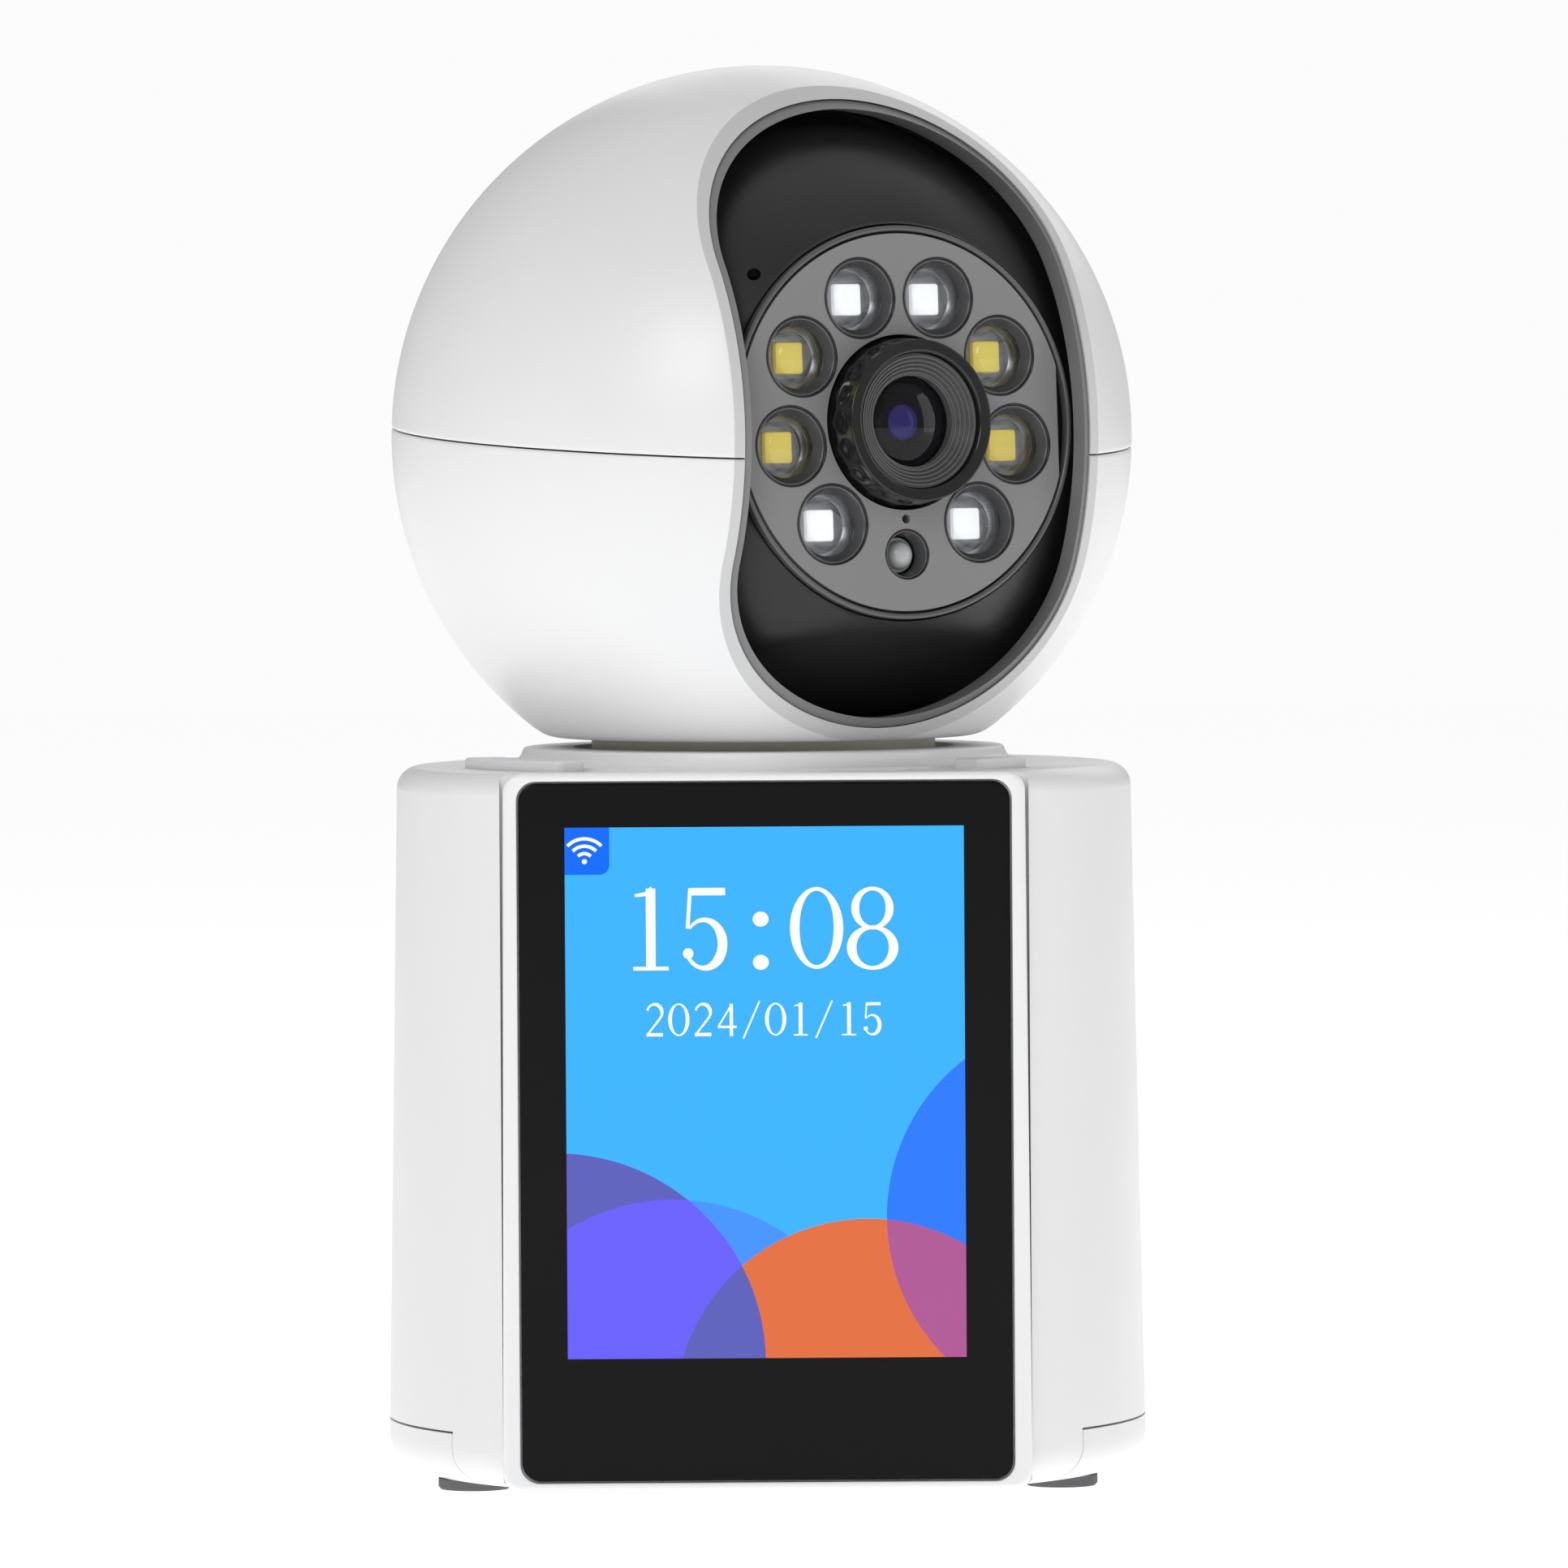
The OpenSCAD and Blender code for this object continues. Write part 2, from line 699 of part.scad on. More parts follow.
// Plugs that close the shell screws' access holes, cut to the ball's curve
module screw_plugs() {
    color(white) in_head() intersection() {
        sphere(r = ball_r - 0.15, $fn = 240);
        for (p = rear_posts) translate([p[0], p[1], -30]) cylinder(r = plug_r - 0.03, h = 14);
    }
}

module pan_hub() {
    color(acetal) rotate([0, 0, pan_rest]) difference() {
        union() {
            translate([0, 0, hub_flange_z]) cylinder(r = hub_flange_r, h = head_floor_z - hub_flange_z);
            translate([0, 0, hub_end]) cylinder(r = hub_r, h = hub_flange_z - hub_end + 0.1);
        }
        cylinder(r = hub_bore, h = big);
        for (a = [45:90:315]) rotate([0, 0, a]) translate([15, 0, 0]) {
            cylinder(r = screw_r + 0.1, h = big);
            cylinder(r = screw_head_r, h = hub_flange_z + 1.2);
        }
    }
}

module hub_screws() {
    color(steel) rotate([0, 0, pan_rest]) for (a = [45:90:315]) rotate([0, 0, a])
        translate([15, 0, 0]) {
            translate([0, 0, hub_flange_z + 0.1]) cylinder(r = screw_head_r - 0.2, h = 1.1);
            translate([0, 0, hub_flange_z + 1.2]) cylinder(r = screw_r - 0.02, h = 2.1);
        }
}

module pan_gear() {
    color(acetal) rotate([0, 0, pan_motor_angle]) translate([0, 0, gear_z]) linear_extrude(gear_t)
        difference() {
            polygon(gear_outline(pan_gear_teeth));
            circle(r = hub_r);
        }
}

module gear_clip() { color(steel) ring(10.4, hub_r, gear_z - 0.8, gear_z); }

module wire_bundle() {
    color(black) for (a = [0:72:288]) rotate([0, 0, a])
        translate([2.2, 0, hub_end - 4]) cylinder(r = 0.9, h = 23, $fn = 24);
}

module side_arm(s) {
    outline = concat([[-arm_half_w, arm_foot_z], [arm_half_w, arm_foot_z]], arc([0, 0], 8, 0, 180));
    x0 = s > 0 ? arm_in : -arm_in - arm_t;
    difference() {
        union() {
            translate([x0, 0, 0]) facing_right() linear_extrude(arm_t) polygon(outline);
            box([s > 0 ? 26.8 : -arm_in - arm_t, s > 0 ? arm_in + arm_t : -26.8],
                [-arm_half_w, arm_half_w], [arm_foot_z, arm_foot_z + 1.8]);
        }
        translate([-big / 2, 0, 0]) rotate([0, 90, 0]) cylinder(r = trunnion_r + fit, h = big);
        for (y = [-5.5, 5.5]) translate([s * 28.4, y, -30]) {
            cylinder(r = 0.9, h = 20);
            translate([0, 0, 30 + arm_foot_z + 1.8]) cylinder(r = 1.7, h = 1.2);
        }
    }
}

module left_arm() { color(black) in_head() side_arm(-1); }

module right_arm() { color(black) in_head() side_arm(1); }

// Screws of the two side arms and of the head board
module chassis_screws() {
    color(steel) in_head() {
        for (x = [-28.4, 28.4], y = [-5.5, 5.5]) {
            translate([x, y, arm_foot_z - 3.6]) cylinder(r = 0.78, h = 5.4);
            translate([x, y, arm_foot_z + 1.8]) cylinder(r = 1.5, h = 1);
        }
        for (p = board_holes) translate([p[0], 0, p[1]]) rotate([-90, 0, 0]) {
            translate([0, 0, 27.2]) cylinder(r = 0.78, h = 5.4);
            translate([0, 0, 26.3]) cylinder(r = 1.5, h = 0.9);
        }
    }
}

module tilt_gear() {
    color(acetal) in_head() translate([-arm_in, 0, 0]) facing_right()
        linear_extrude(arm_in - tilt_gear_in) rotate([0, 0, tilt_mesh_angle]) difference() {
            polygon(gear_outline(tilt_gear_teeth));
            circle(r = trunnion_r + 0.5);
        }
}

module head_board() {
    color(board_green) in_head() difference() {
        box([-17.5, 17.5], [27.2, 28.4], [-18, 4]);
        for (p = board_holes) translate([p[0], 0, p[1]]) rotate([-90, 0, 0]) cylinder(r = 0.9, h = 40);
    }
}

// ---- Eye ----

// Side outline of the eye in (front, up): round in front, cut in below so that it clears the floor
// of the ball, and open at the back
function eye_outline(r, chin, back = []) = let (drop = acos(chin / r)) concat(
    arc([0, 0], r, chin_from + drop, eye_back_top, 40), back,
    arc([0, 0], chin, eye_back_foot, chin_from, 12));

module eye_form(r, chin, half_w) {
    intersection() {
        sphere(r = r, $fn = 96);
        translate([-half_w, 0, 0]) facing_right() linear_extrude(2 * half_w)
            mirror([1, 0]) polygon(eye_outline(r + 0.01, chin));
    }
}

module at_mic() {
    rotate([0, 0, mic_angles[0]]) rotate([-mic_angles[1], 0, 0]) facing_front() children();
}

module at_tilt_motor() {
    rotate([-tilt_motor_angle, 0, 0]) translate([0, -tilt_centre, 0]) children();
}

module eye_housing() {
    in = eye_half_w - eye_wall;
    color(black) in_eye() difference() {
        union() {
            difference() {
                eye_form(eye_r, chin_r, eye_half_w);
                intersection() {
                    sphere(r = eye_r - eye_wall, $fn = 96);
                    translate([-in, 0, 0]) facing_right() linear_extrude(2 * in)
                        mirror([1, 0]) polygon(eye_outline(eye_r - eye_wall + 0.01,
                            chin_r - eye_wall, [[-60, 36], [-60, -40]]));
                }
            }
            // Ledge that the faceplate sits on
            facing_front()
                ring(plate_r + 1.2, plate_r - 1.6, plate_front - plate_t - 1.5, plate_front - plate_t);
        }
        front_rod(plate_r + 0.1, plate_front - plate_t, 60);
        front_rod(plate_r - 1.6, 20, 60);
        front_rod(plate_r + 1, plate_front - 1.3, 60);
        rotate([0, 90, 0]) translate([0, 0, -50]) cylinder(r = trunnion_r, h = 100);
        at_tilt_motor() translate([-50, 0, 0]) rotate([0, 90, 0]) cylinder(r = 3.7, h = 30);
        at_mic() translate([0, 0, 30]) cylinder(r = 0.75, h = 20, $fn = 24);
    }
}

module faceplate() {
    color(grey) in_eye() difference() {
        intersection() {
            front_rod(plate_r, plate_front - plate_t, plate_front);
            box([-plate_flat, plate_flat], [-50, 0], [-50, 50]);
        }
        at_lamps(lamp_angles, 20) cylinder(r = lamp_hole_r, h = 20);
        at_lamps([-90], 20) cylinder(r = sensor_hole_r, h = 20);
        front_rod(barrel_r + 0.1, 20, 50);
        translate([0, 0, -10.5]) front_rod(0.5, 20, 50);
    }
}

module faceplate_rim() {
    color(black) in_eye() facing_front()
        ring(plate_r + 0.9, plate_r + 0.25, plate_front - 1.25, plate_front + 0.15);
}

module trunnions() {
    in = eye_half_w - eye_wall;
    color(acetal) in_eye() for (s = [-1, 1]) rotate([0, 90 * s, 0]) difference() {
        union() {
            translate([0, 0, in - 0.8]) cylinder(r = 6, h = 0.8);
            translate([0, 0, in]) cylinder(r = trunnion_r, h = arm_in + arm_t + 0.2 - in);
        }
        cylinder(r = 2.5, h = 50);
    }
}

module lamp_board() {
    color(board_green) in_eye() facing_front() ring(18.4, 9.8, lamp_board_front - 1.2, lamp_board_front);
}

module lamp_lenses() {
    color([0.9, 0.93, 0.96, 0.5]) in_eye() at_lamps(lamp_angles) {
        translate([0, 0, 28.4]) cylinder(r = lamp_hole_r + 0.2, h = plate_front - plate_t - 28.4);
        intersection() {
            translate([0, 0, 28.9]) sphere(r = lamp_dome_r - 0.1);
            translate([0, 0, 28.9]) cylinder(r = lamp_dome_r, h = 1.6);
        }
    }
}

module lamp_chips(angles) {
    in_eye() at_lamps(angles) translate([-1.5, -1.5, lamp_board_front]) cube([3, 3, 0.8]);
}

module white_lamps() { color([0.96, 0.96, 0.97]) lamp_chips(white_angles); }

module warm_lamps() { color([0.93, 0.85, 0.42]) lamp_chips(warm_angles); }

module light_sensor() {
    color([0.7, 0.72, 0.74]) in_eye() at_lamps([-90], lamp_board_front) {
        cylinder(r = 1.9, h = 1.5);
        intersection() {
            translate([0, 0, 1]) sphere(r = 1.6);
            translate([0, 0, 1.4]) cylinder(r = 3, h = 3);
        }
    }
}

module microphone() {
    color(steel) in_eye() at_mic() translate([0, 0, 31.9]) cylinder(r = 2, h = 2.2);
}

module lens_barrel() {
    color(black) in_eye() facing_front() difference() {
        translate([0, 0, barrel_back])
            cylinder(r1 = barrel_r, r2 = barrel_tip_r, h = barrel_tip - barrel_back);
        translate([0, 0, barrel_back - 1]) cylinder(r = 6.2, h = 20);
        translate([0, 0, barrel_tip - 1.6]) cylinder(r = 7.4, h = 5);
    }
}

module lens_ring() {
    color([0.2, 0.2, 0.21]) in_eye() facing_front() {
        ring(7.35, 5.6, barrel_tip - 1.6, barrel_tip - 0.4);
        ring(6.15, 4.9, barrel_tip - 3.2, barrel_tip - 1.6);
    }
}

module front_lens() {
    color([0.05, 0.05, 0.1]) in_eye() intersection() {
        translate([0, -(barrel_tip - 12.2), 0]) sphere(r = 10.4);
        front_rod(4.85, barrel_tip - 4.2, barrel_tip);
    }
}

module lens_holder() {
    color(black) in_eye() facing_front() {
        ring(6.15, 4.9, 20, barrel_tip - 4.4);
        ring(9, 4.9, 17.8, 20);
    }
}

module sensor_board() {
    color(board_green) in_eye() box([-12, 12], [-17.8, -16.6], [-12, 12]);
}

module tilt_motor() {
    in = eye_half_w - eye_wall;
    color(steel) in_eye() at_tilt_motor() difference() {
        union() {
            translate([-in, 0, 0]) rotate([0, 90, 0]) cylinder(r = tilt_motor_r, h = tilt_motor_l);
            translate([-eye_half_w, 0, 0]) rotate([0, 90, 0]) cylinder(r = 3.6, h = 3);
        }
        translate([-40, 0, 0]) rotate([0, 90, 0]) cylinder(r = motor_shaft_r + fit, h = 24);
    }
}

module tilt_pinion() {
    color(acetal) in_eye() at_tilt_motor() {
        translate([-arm_in + gap, 0, 0]) facing_right() linear_extrude(arm_in - gap - tilt_gear_in)
            rotate([0, 0, pinion_turn]) polygon(gear_outline(pinion_teeth));
        translate([-arm_in + gap, 0, 0]) rotate([0, 90, 0]) cylinder(r = motor_shaft_r, h = 12);
    }
}

base_shell();
bottom_cover();
rubber_feet();
cover_screws();
screen_bezel();
screen_glass();
lcd_panel();
backlight();
main_board();
shield_can();
board_screws();
wifi_antenna();
speaker_basket();
speaker_cone();
inlet_board();
usb_inlet();
key_board();
key_switches();
neck_collar();
pan_bush();
motor_bracket();
bracket_screws();
pan_motor();
pan_motor_shaft();
pan_pinion();
call_key();
power_key();
reset_button();
upper_shell();
lower_shell();
window_trim();
shell_screws();
pan_hub();
hub_screws();
pan_gear();
gear_clip();
wire_bundle();
left_arm();
right_arm();
chassis_screws();
screw_plugs();
tilt_gear();
head_board();
eye_housing();
faceplate();
faceplate_rim();
trunnions();
lamp_board();
lamp_lenses();
white_lamps();
warm_lamps();
light_sensor();
microphone();
lens_barrel();
lens_ring();
front_lens();
lens_holder();
sensor_board();
tilt_motor();
tilt_pinion();
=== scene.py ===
import json
import math

import bpy
import numpy as np
from bpy.props import (FloatProperty, FloatVectorProperty, IntProperty, PointerProperty,
                       StringProperty)
from mathutils import Matrix, Vector
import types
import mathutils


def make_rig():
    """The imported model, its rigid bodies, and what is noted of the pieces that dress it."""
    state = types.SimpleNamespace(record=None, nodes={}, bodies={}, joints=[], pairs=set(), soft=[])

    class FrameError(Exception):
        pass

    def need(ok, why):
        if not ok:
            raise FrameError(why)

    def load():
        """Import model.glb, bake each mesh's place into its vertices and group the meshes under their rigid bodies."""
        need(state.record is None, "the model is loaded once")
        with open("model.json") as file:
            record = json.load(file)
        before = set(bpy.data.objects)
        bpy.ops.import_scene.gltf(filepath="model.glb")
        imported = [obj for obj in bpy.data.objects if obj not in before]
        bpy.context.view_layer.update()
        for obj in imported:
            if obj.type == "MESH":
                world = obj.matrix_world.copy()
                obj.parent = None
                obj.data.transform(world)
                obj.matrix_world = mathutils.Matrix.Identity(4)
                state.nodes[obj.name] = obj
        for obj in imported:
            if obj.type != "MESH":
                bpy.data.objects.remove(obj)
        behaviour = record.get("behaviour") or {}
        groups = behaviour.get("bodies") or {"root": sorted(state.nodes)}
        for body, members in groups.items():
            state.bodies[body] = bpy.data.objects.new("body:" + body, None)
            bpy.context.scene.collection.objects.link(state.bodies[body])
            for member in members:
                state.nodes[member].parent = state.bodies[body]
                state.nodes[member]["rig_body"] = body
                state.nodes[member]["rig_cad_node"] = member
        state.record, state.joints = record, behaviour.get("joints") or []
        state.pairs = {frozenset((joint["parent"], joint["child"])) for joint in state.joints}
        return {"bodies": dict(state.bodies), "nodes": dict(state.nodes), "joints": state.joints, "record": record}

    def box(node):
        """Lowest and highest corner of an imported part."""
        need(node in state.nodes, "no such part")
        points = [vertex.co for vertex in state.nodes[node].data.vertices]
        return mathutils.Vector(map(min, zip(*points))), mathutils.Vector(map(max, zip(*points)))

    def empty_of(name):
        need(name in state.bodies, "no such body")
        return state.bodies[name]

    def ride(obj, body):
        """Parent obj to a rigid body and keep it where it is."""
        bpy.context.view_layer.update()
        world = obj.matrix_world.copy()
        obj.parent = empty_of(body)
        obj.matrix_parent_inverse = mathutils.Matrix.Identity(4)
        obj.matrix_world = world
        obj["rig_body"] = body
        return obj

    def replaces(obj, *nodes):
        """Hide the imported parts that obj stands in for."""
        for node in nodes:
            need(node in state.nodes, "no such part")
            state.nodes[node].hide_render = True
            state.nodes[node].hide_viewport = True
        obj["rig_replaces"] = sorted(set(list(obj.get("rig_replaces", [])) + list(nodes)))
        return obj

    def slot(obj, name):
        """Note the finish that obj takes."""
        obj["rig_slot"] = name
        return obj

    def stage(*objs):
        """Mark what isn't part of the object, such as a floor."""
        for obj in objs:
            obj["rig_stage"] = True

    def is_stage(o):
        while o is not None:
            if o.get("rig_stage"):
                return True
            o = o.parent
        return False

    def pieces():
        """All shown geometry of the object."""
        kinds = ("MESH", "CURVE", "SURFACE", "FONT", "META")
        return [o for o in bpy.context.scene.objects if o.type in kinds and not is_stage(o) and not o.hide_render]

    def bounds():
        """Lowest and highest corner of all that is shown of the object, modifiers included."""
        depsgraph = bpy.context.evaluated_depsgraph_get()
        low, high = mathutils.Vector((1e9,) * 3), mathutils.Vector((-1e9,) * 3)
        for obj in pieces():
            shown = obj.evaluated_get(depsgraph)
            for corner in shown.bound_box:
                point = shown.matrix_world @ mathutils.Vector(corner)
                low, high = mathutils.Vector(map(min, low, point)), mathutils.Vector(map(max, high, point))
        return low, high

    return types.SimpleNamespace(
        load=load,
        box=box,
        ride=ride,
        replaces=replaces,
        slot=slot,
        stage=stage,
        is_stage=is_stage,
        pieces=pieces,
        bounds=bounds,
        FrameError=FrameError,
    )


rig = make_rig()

bl_info = {
    "name": "Desk Display Camera",
    "version": (1, 0, 0),
    "blender": (4, 5, 0),
    "location": "View3D > Sidebar > Display",
    "description": "Builds the shells, screen, eye and lamps of a desk display with a ball camera",
    "category": "Object",
}

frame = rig.load()
CAD_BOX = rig.bounds()
MM = 0.001
JOINTS = {joint["name"]: joint for joint in frame["joints"]}
TINY = 1e-9                     # keeps what is divided by off zero
WELD_MM, WELD_M = 1e-5, 1e-8    # points closer than this are one
HALVINGS = 40                   # steps of the searches that halve a range of angles
ARC_SHARE, POINT_SHARE = 0.45, 0.04    # most of a side for a corner's arc, and beside it


def box_mm(node):
    """Lowest and highest corner of a CAD node, in millimetres."""
    low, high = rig.box(node)
    return np.array(low) / MM, np.array(high) / MM


# ---- Places of the three frames: base, head (about the ball's centre) and eye ----

BALL_CENTRE = np.array(JOINTS["head_pan"]["pos_m"]) / MM
TILT_AXIS = np.array(JOINTS["eye_tilt"]["axis"], float)
PAN_REST = math.atan2(-TILT_AXIS[1], -TILT_AXIS[0])
TILT_REST = math.radians(3)
BALL_R = box_mm("upper_shell")[1][2] - BALL_CENTRE[2]
BALL_FLAT = BALL_CENTRE[2] - box_mm("lower_shell")[0][2]
SEAM_SLOPE = math.radians(3.6)
SEAM_NORMAL = np.array([0, -math.sin(SEAM_SLOPE), math.cos(SEAM_SLOPE)])


def turn_x(angle):
    """Rotation matrix about X."""
    c, s = math.cos(angle), math.sin(angle)
    return np.array([[1, 0, 0], [0, c, -s], [0, s, c]])


def turn_z(angle):
    """Rotation matrix about Z."""
    c, s = math.cos(angle), math.sin(angle)
    return np.array([[c, -s, 0], [s, c, 0], [0, 0, 1]])


def in_head(points):
    """Points given about the ball's centre, front along -Y, put where the head stands."""
    return points @ turn_z(PAN_REST).T + BALL_CENTRE


def in_eye(points):
    """Points given in the eye's own frame, front along -Y, put where the eye looks."""
    return in_head(points @ turn_x(-TILT_REST).T)


def facing(points):
    """Turns points with +Z as their axis so that the axis runs along -Y."""
    return points @ turn_x(math.pi / 2).T


# ---- Grids of points, and meshes from them ----


def quads_of(rows, columns, wrap_rows, wrap_columns, start):
    """Corner indices of the quads between neighbouring rows and columns of a grid."""
    index = start + np.arange(rows * columns).reshape(rows, columns)
    if wrap_rows:
        index = np.vstack([index, index[:1]])
    if wrap_columns:
        index = np.hstack([index, index[:, :1]])
    corners = [index[:-1, :-1], index[1:, :-1], index[1:, 1:], index[:-1, 1:]]
    return np.stack(corners, axis=-1).reshape(-1, 4)


def enclosed_volume(points, quads):
    """Signed volume inside closed quads: a sixth of the triple product of each triangle, summed."""
    a, b, c, d = (points[quads[:, k]] for k in range(4))
    return (np.einsum("ij,ij->", a, np.cross(b, c)) + np.einsum("ij,ij->", a, np.cross(c, d))) / 6

def merged(points, reach):
    """Which points stay where several coincide, and which of those each old point becomes."""
    keys = np.round(points / reach).astype(np.int64)
    _, first, back = np.unique(keys, axis=0, return_index=True, return_inverse=True)
    return first, back.reshape(-1)


def welded(points, quads):
    """Merges points that coincide, and turns quads with a repeated corner into triangles."""
    first, back = merged(points, WELD_MM)
    points, quads = points[first], back[quads]
    whole = (quads != np.roll(quads, -1, axis=1)).all(axis=1)
    whole &= (quads[:, 0] != quads[:, 2]) & (quads[:, 1] != quads[:, 3])
    rest = quads[~whole]
    triangles = np.vstack([rest[:, [0, 1, 2]], rest[:, [0, 2, 3]]])
    kept = (triangles != np.roll(triangles, -1, axis=1)).all(axis=1)
    return points, quads[whole], triangles[kept]


def placed(name, data):
    """A new object with its data, in the scene."""
    made = bpy.data.objects.new(name, data)
    bpy.context.scene.collection.objects.link(made)
    return made

def piece_from(name, grids, sharp=40.0):
    """A mesh object from closed grids [(points, wrap_rows, wrap_columns), ...] in millimetres.

    Each grid's faces are turned outwards by the sign of the volume they enclose. Edges sharper than
    the angle in degrees stay sharp, and the rest shade smoothly.
    """
    all_points, all_quads, start = [], [], 0
    for points, wrap_rows, wrap_columns in grids:
        rows, columns = points.shape[:2]
        flat = points.reshape(-1, 3)
        quads = quads_of(rows, columns, wrap_rows, wrap_columns, 0)
        if enclosed_volume(flat - flat.mean(axis=0), quads) < 0:
            quads = quads[:, ::-1]
        all_points.append(flat)
        all_quads.append(quads + start)
        start += len(flat)
    points, quads, triangles = welded(np.vstack(all_points), np.vstack(all_quads))
    mesh = bpy.data.meshes.new(name)
    mesh.vertices.add(len(points))
    mesh.vertices.foreach_set("co", (points * MM).astype(np.float32).ravel())
    mesh.loops.add(quads.size + triangles.size)
    mesh.loops.foreach_set("vertex_index", np.concatenate([quads.ravel(), triangles.ravel()]))
    mesh.polygons.add(len(quads) + len(triangles))
    ends = np.cumsum(np.repeat([4, 3], [len(quads), len(triangles)]))
    mesh.polygons.foreach_set("loop_start", np.concatenate([[0], ends[:-1]]))
    mesh.update(calc_edges=True)
    mesh.validate()
    smooth_to(mesh, sharp)
    return placed(name, mesh)


def smooth_to(mesh, angle):
    """Shades a mesh smoothly, apart from edges sharper than angle degrees."""
    mesh.polygons.foreach_set("use_smooth", np.ones(len(mesh.polygons), bool))
    mesh.set_sharp_from_angle(angle=math.radians(angle))


def cut_out(piece, cutter, sharp=40.0):
    """Takes the cutter's volume out of the piece and removes the cutter."""
    opening = piece.modifiers.new("openings", "BOOLEAN")
    opening.object, opening.operation, opening.solver = cutter, "DIFFERENCE", "EXACT"
    graph = bpy.context.evaluated_depsgraph_get()
    mesh = bpy.data.meshes.new_from_object(piece.evaluated_get(graph))
    piece.modifiers.clear()
    piece.data, old = mesh, piece.data
    bpy.data.meshes.remove(old)
    bpy.data.meshes.remove(cutter.data)
    mesh.name = piece.name
    smooth_to(mesh, sharp)


def fillet(path, radius, steps=5, closed=False, support=0.04):
    """A polyline with each corner replaced by an arc that touches both its sides.

    The arc's centre lies on the corner's bisector, and its points turn evenly from one touching
    point to the other. A point just outside each end of the arc keeps flat sides flat in shading.
    """
    path = np.asarray(path, float)
    corners = path if closed else path[1:-1]
    before = np.roll(path, 1, axis=0) if closed else path[:-2]
    after = np.roll(path, -1, axis=0) if closed else path[2:]
    a, b = before - corners, after - corners
    la, lb = np.linalg.norm(a, axis=1), np.linalg.norm(b, axis=1)
    a, b = a / la[:, None], b / lb[:, None]
    half = np.arccos(np.clip((a * b).sum(1), -1, 1)) / 2
    shorter = np.minimum(la, lb)
    r = np.minimum(np.broadcast_to(radius, len(corners)), ARC_SHARE * shorter * np.tan(half))
    reach = (r / np.maximum(np.tan(half), TINY))[:, None]
    middle = a + b
    straight = np.linalg.norm(middle, axis=1) < 1e-4
    middle = middle / np.maximum(np.linalg.norm(middle, axis=1), TINY)[:, None]
    centre = corners + middle * (r / np.sin(half))[:, None]
    u0, u1 = corners + a * reach - centre, corners + b * reach - centre
    turn = np.maximum(math.pi - 2 * half, TINY)[:, None, None]
    t = np.linspace(0, 1, steps + 1)[None, :, None]
    sweep = np.sin((1 - t) * turn) * u0[:, None] + np.sin(t * turn) * u1[:, None]
    arc = centre[:, None] + sweep / np.sin(turn)
    arc = np.where(straight[:, None, None], corners[:, None], arc)
    room = np.minimum(support, POINT_SHARE * shorter)[:, None]
    lead_in, lead_out = corners + a * (reach + room), corners + b * (reach + room)
    points = np.concatenate([lead_in[:, None], arc, lead_out[:, None]], axis=1).reshape(-1, 2)
    return points if closed else np.vstack([path[:1], points, path[-1:]])


def polar(radius, angle, height):
    """Points at a radius and an angle about Z, and at a height."""
    return np.stack([radius * np.cos(angle), radius * np.sin(angle), height + 0 * angle], axis=-1)


def revolved(profile, count=128):
    """A profile of (radius, height) turned about Z, on a grid of profile point by angle."""
    angle = np.linspace(0, 2 * math.pi, count, endpoint=False)
    return polar(profile[:, :1], angle, profile[:, 1:])


def rounded_rows(half_w, half_h, corner, steps=8):
    """Rounded rectangles, one a row: each corner's centre plus a quarter turn of its radius."""
    half_w, half_h, corner = (np.atleast_1d(v).astype(float)[:, None, None]
                              for v in (half_w, half_h, corner))
    quarter = np.linspace(0, math.pi / 2, steps + 1)[None, None]
    start = (np.arange(4) * math.pi / 2)[None, :, None]
    sx, sy = np.array([1, -1, -1, 1])[None, :, None], np.array([1, 1, -1, -1])[None, :, None]
    x = sx * (half_w - corner) + corner * np.cos(start + quarter)
    y = sy * (half_h - corner) + corner * np.sin(start + quarter)
    rows = len(x)
    return np.stack([x.reshape(rows, -1), y.reshape(rows, -1)], axis=-1)


def slab(half_w, half_h, corner, bottom, top, edge, steps=8):
    """A plate with a rounded outline and rounded edges: outlines drawn in towards the middle of
    each face, joined by an edge whose section is a quarter turn at the top and at the bottom."""
    path = fillet([(half_w, bottom), (0, bottom), (0, top), (half_w, top)], edge, 4)
    inset, height = path[:, 0], path[:, 1]
    share = np.clip(inset, 0, min(half_w, half_h))
    outline = rounded_rows(half_w - share, half_h - share, np.maximum(corner - share, 0), steps)
    outline[[0, -1]] = 0
    z = np.broadcast_to(height[:, None, None], outline.shape[:2] + (1,))
    return np.concatenate([outline, z], axis=-1)


def divided(grid, steps):
    """A closed grid with each stretch between neighbouring columns cut into equal steps."""
    following = np.roll(grid, -1, axis=1)
    share = np.linspace(0, 1, steps, endpoint=False)[None, None, :, None]
    cut = grid[:, :, None] * (1 - share) + following[:, :, None] * share
    return cut.reshape(len(grid), -1, 3)


def level_rows(rows):
    """A grid from outlines of (x, z), each at its own distance along -Y."""
    return np.stack([np.stack([o[:, 0], 0 * o[:, 0] - depth, o[:, 1]], -1) for o, depth in rows])


def capped(grid):
    """A grid of four rows with both ends drawn together to a point, and how it wraps."""
    ends = [np.broadcast_to(grid[:, k].mean(axis=0), (4, 1, 3)) for k in (0, -1)]
    return np.concatenate([ends[0], grid, ends[1]], axis=1), True, False

def copies(points, places):
    """The same grid once at each place, as a list of grids."""
    return [points + np.asarray(place) for place in places]


# ---- Materials ----


def srgb(level):
    """Linear value of an sRGB level from 0 to 255, by the standard's curve."""
    value = level / 255
    return value / 12.92 if value <= 0.04045 else ((value + 0.055) / 1.055) ** 2.4


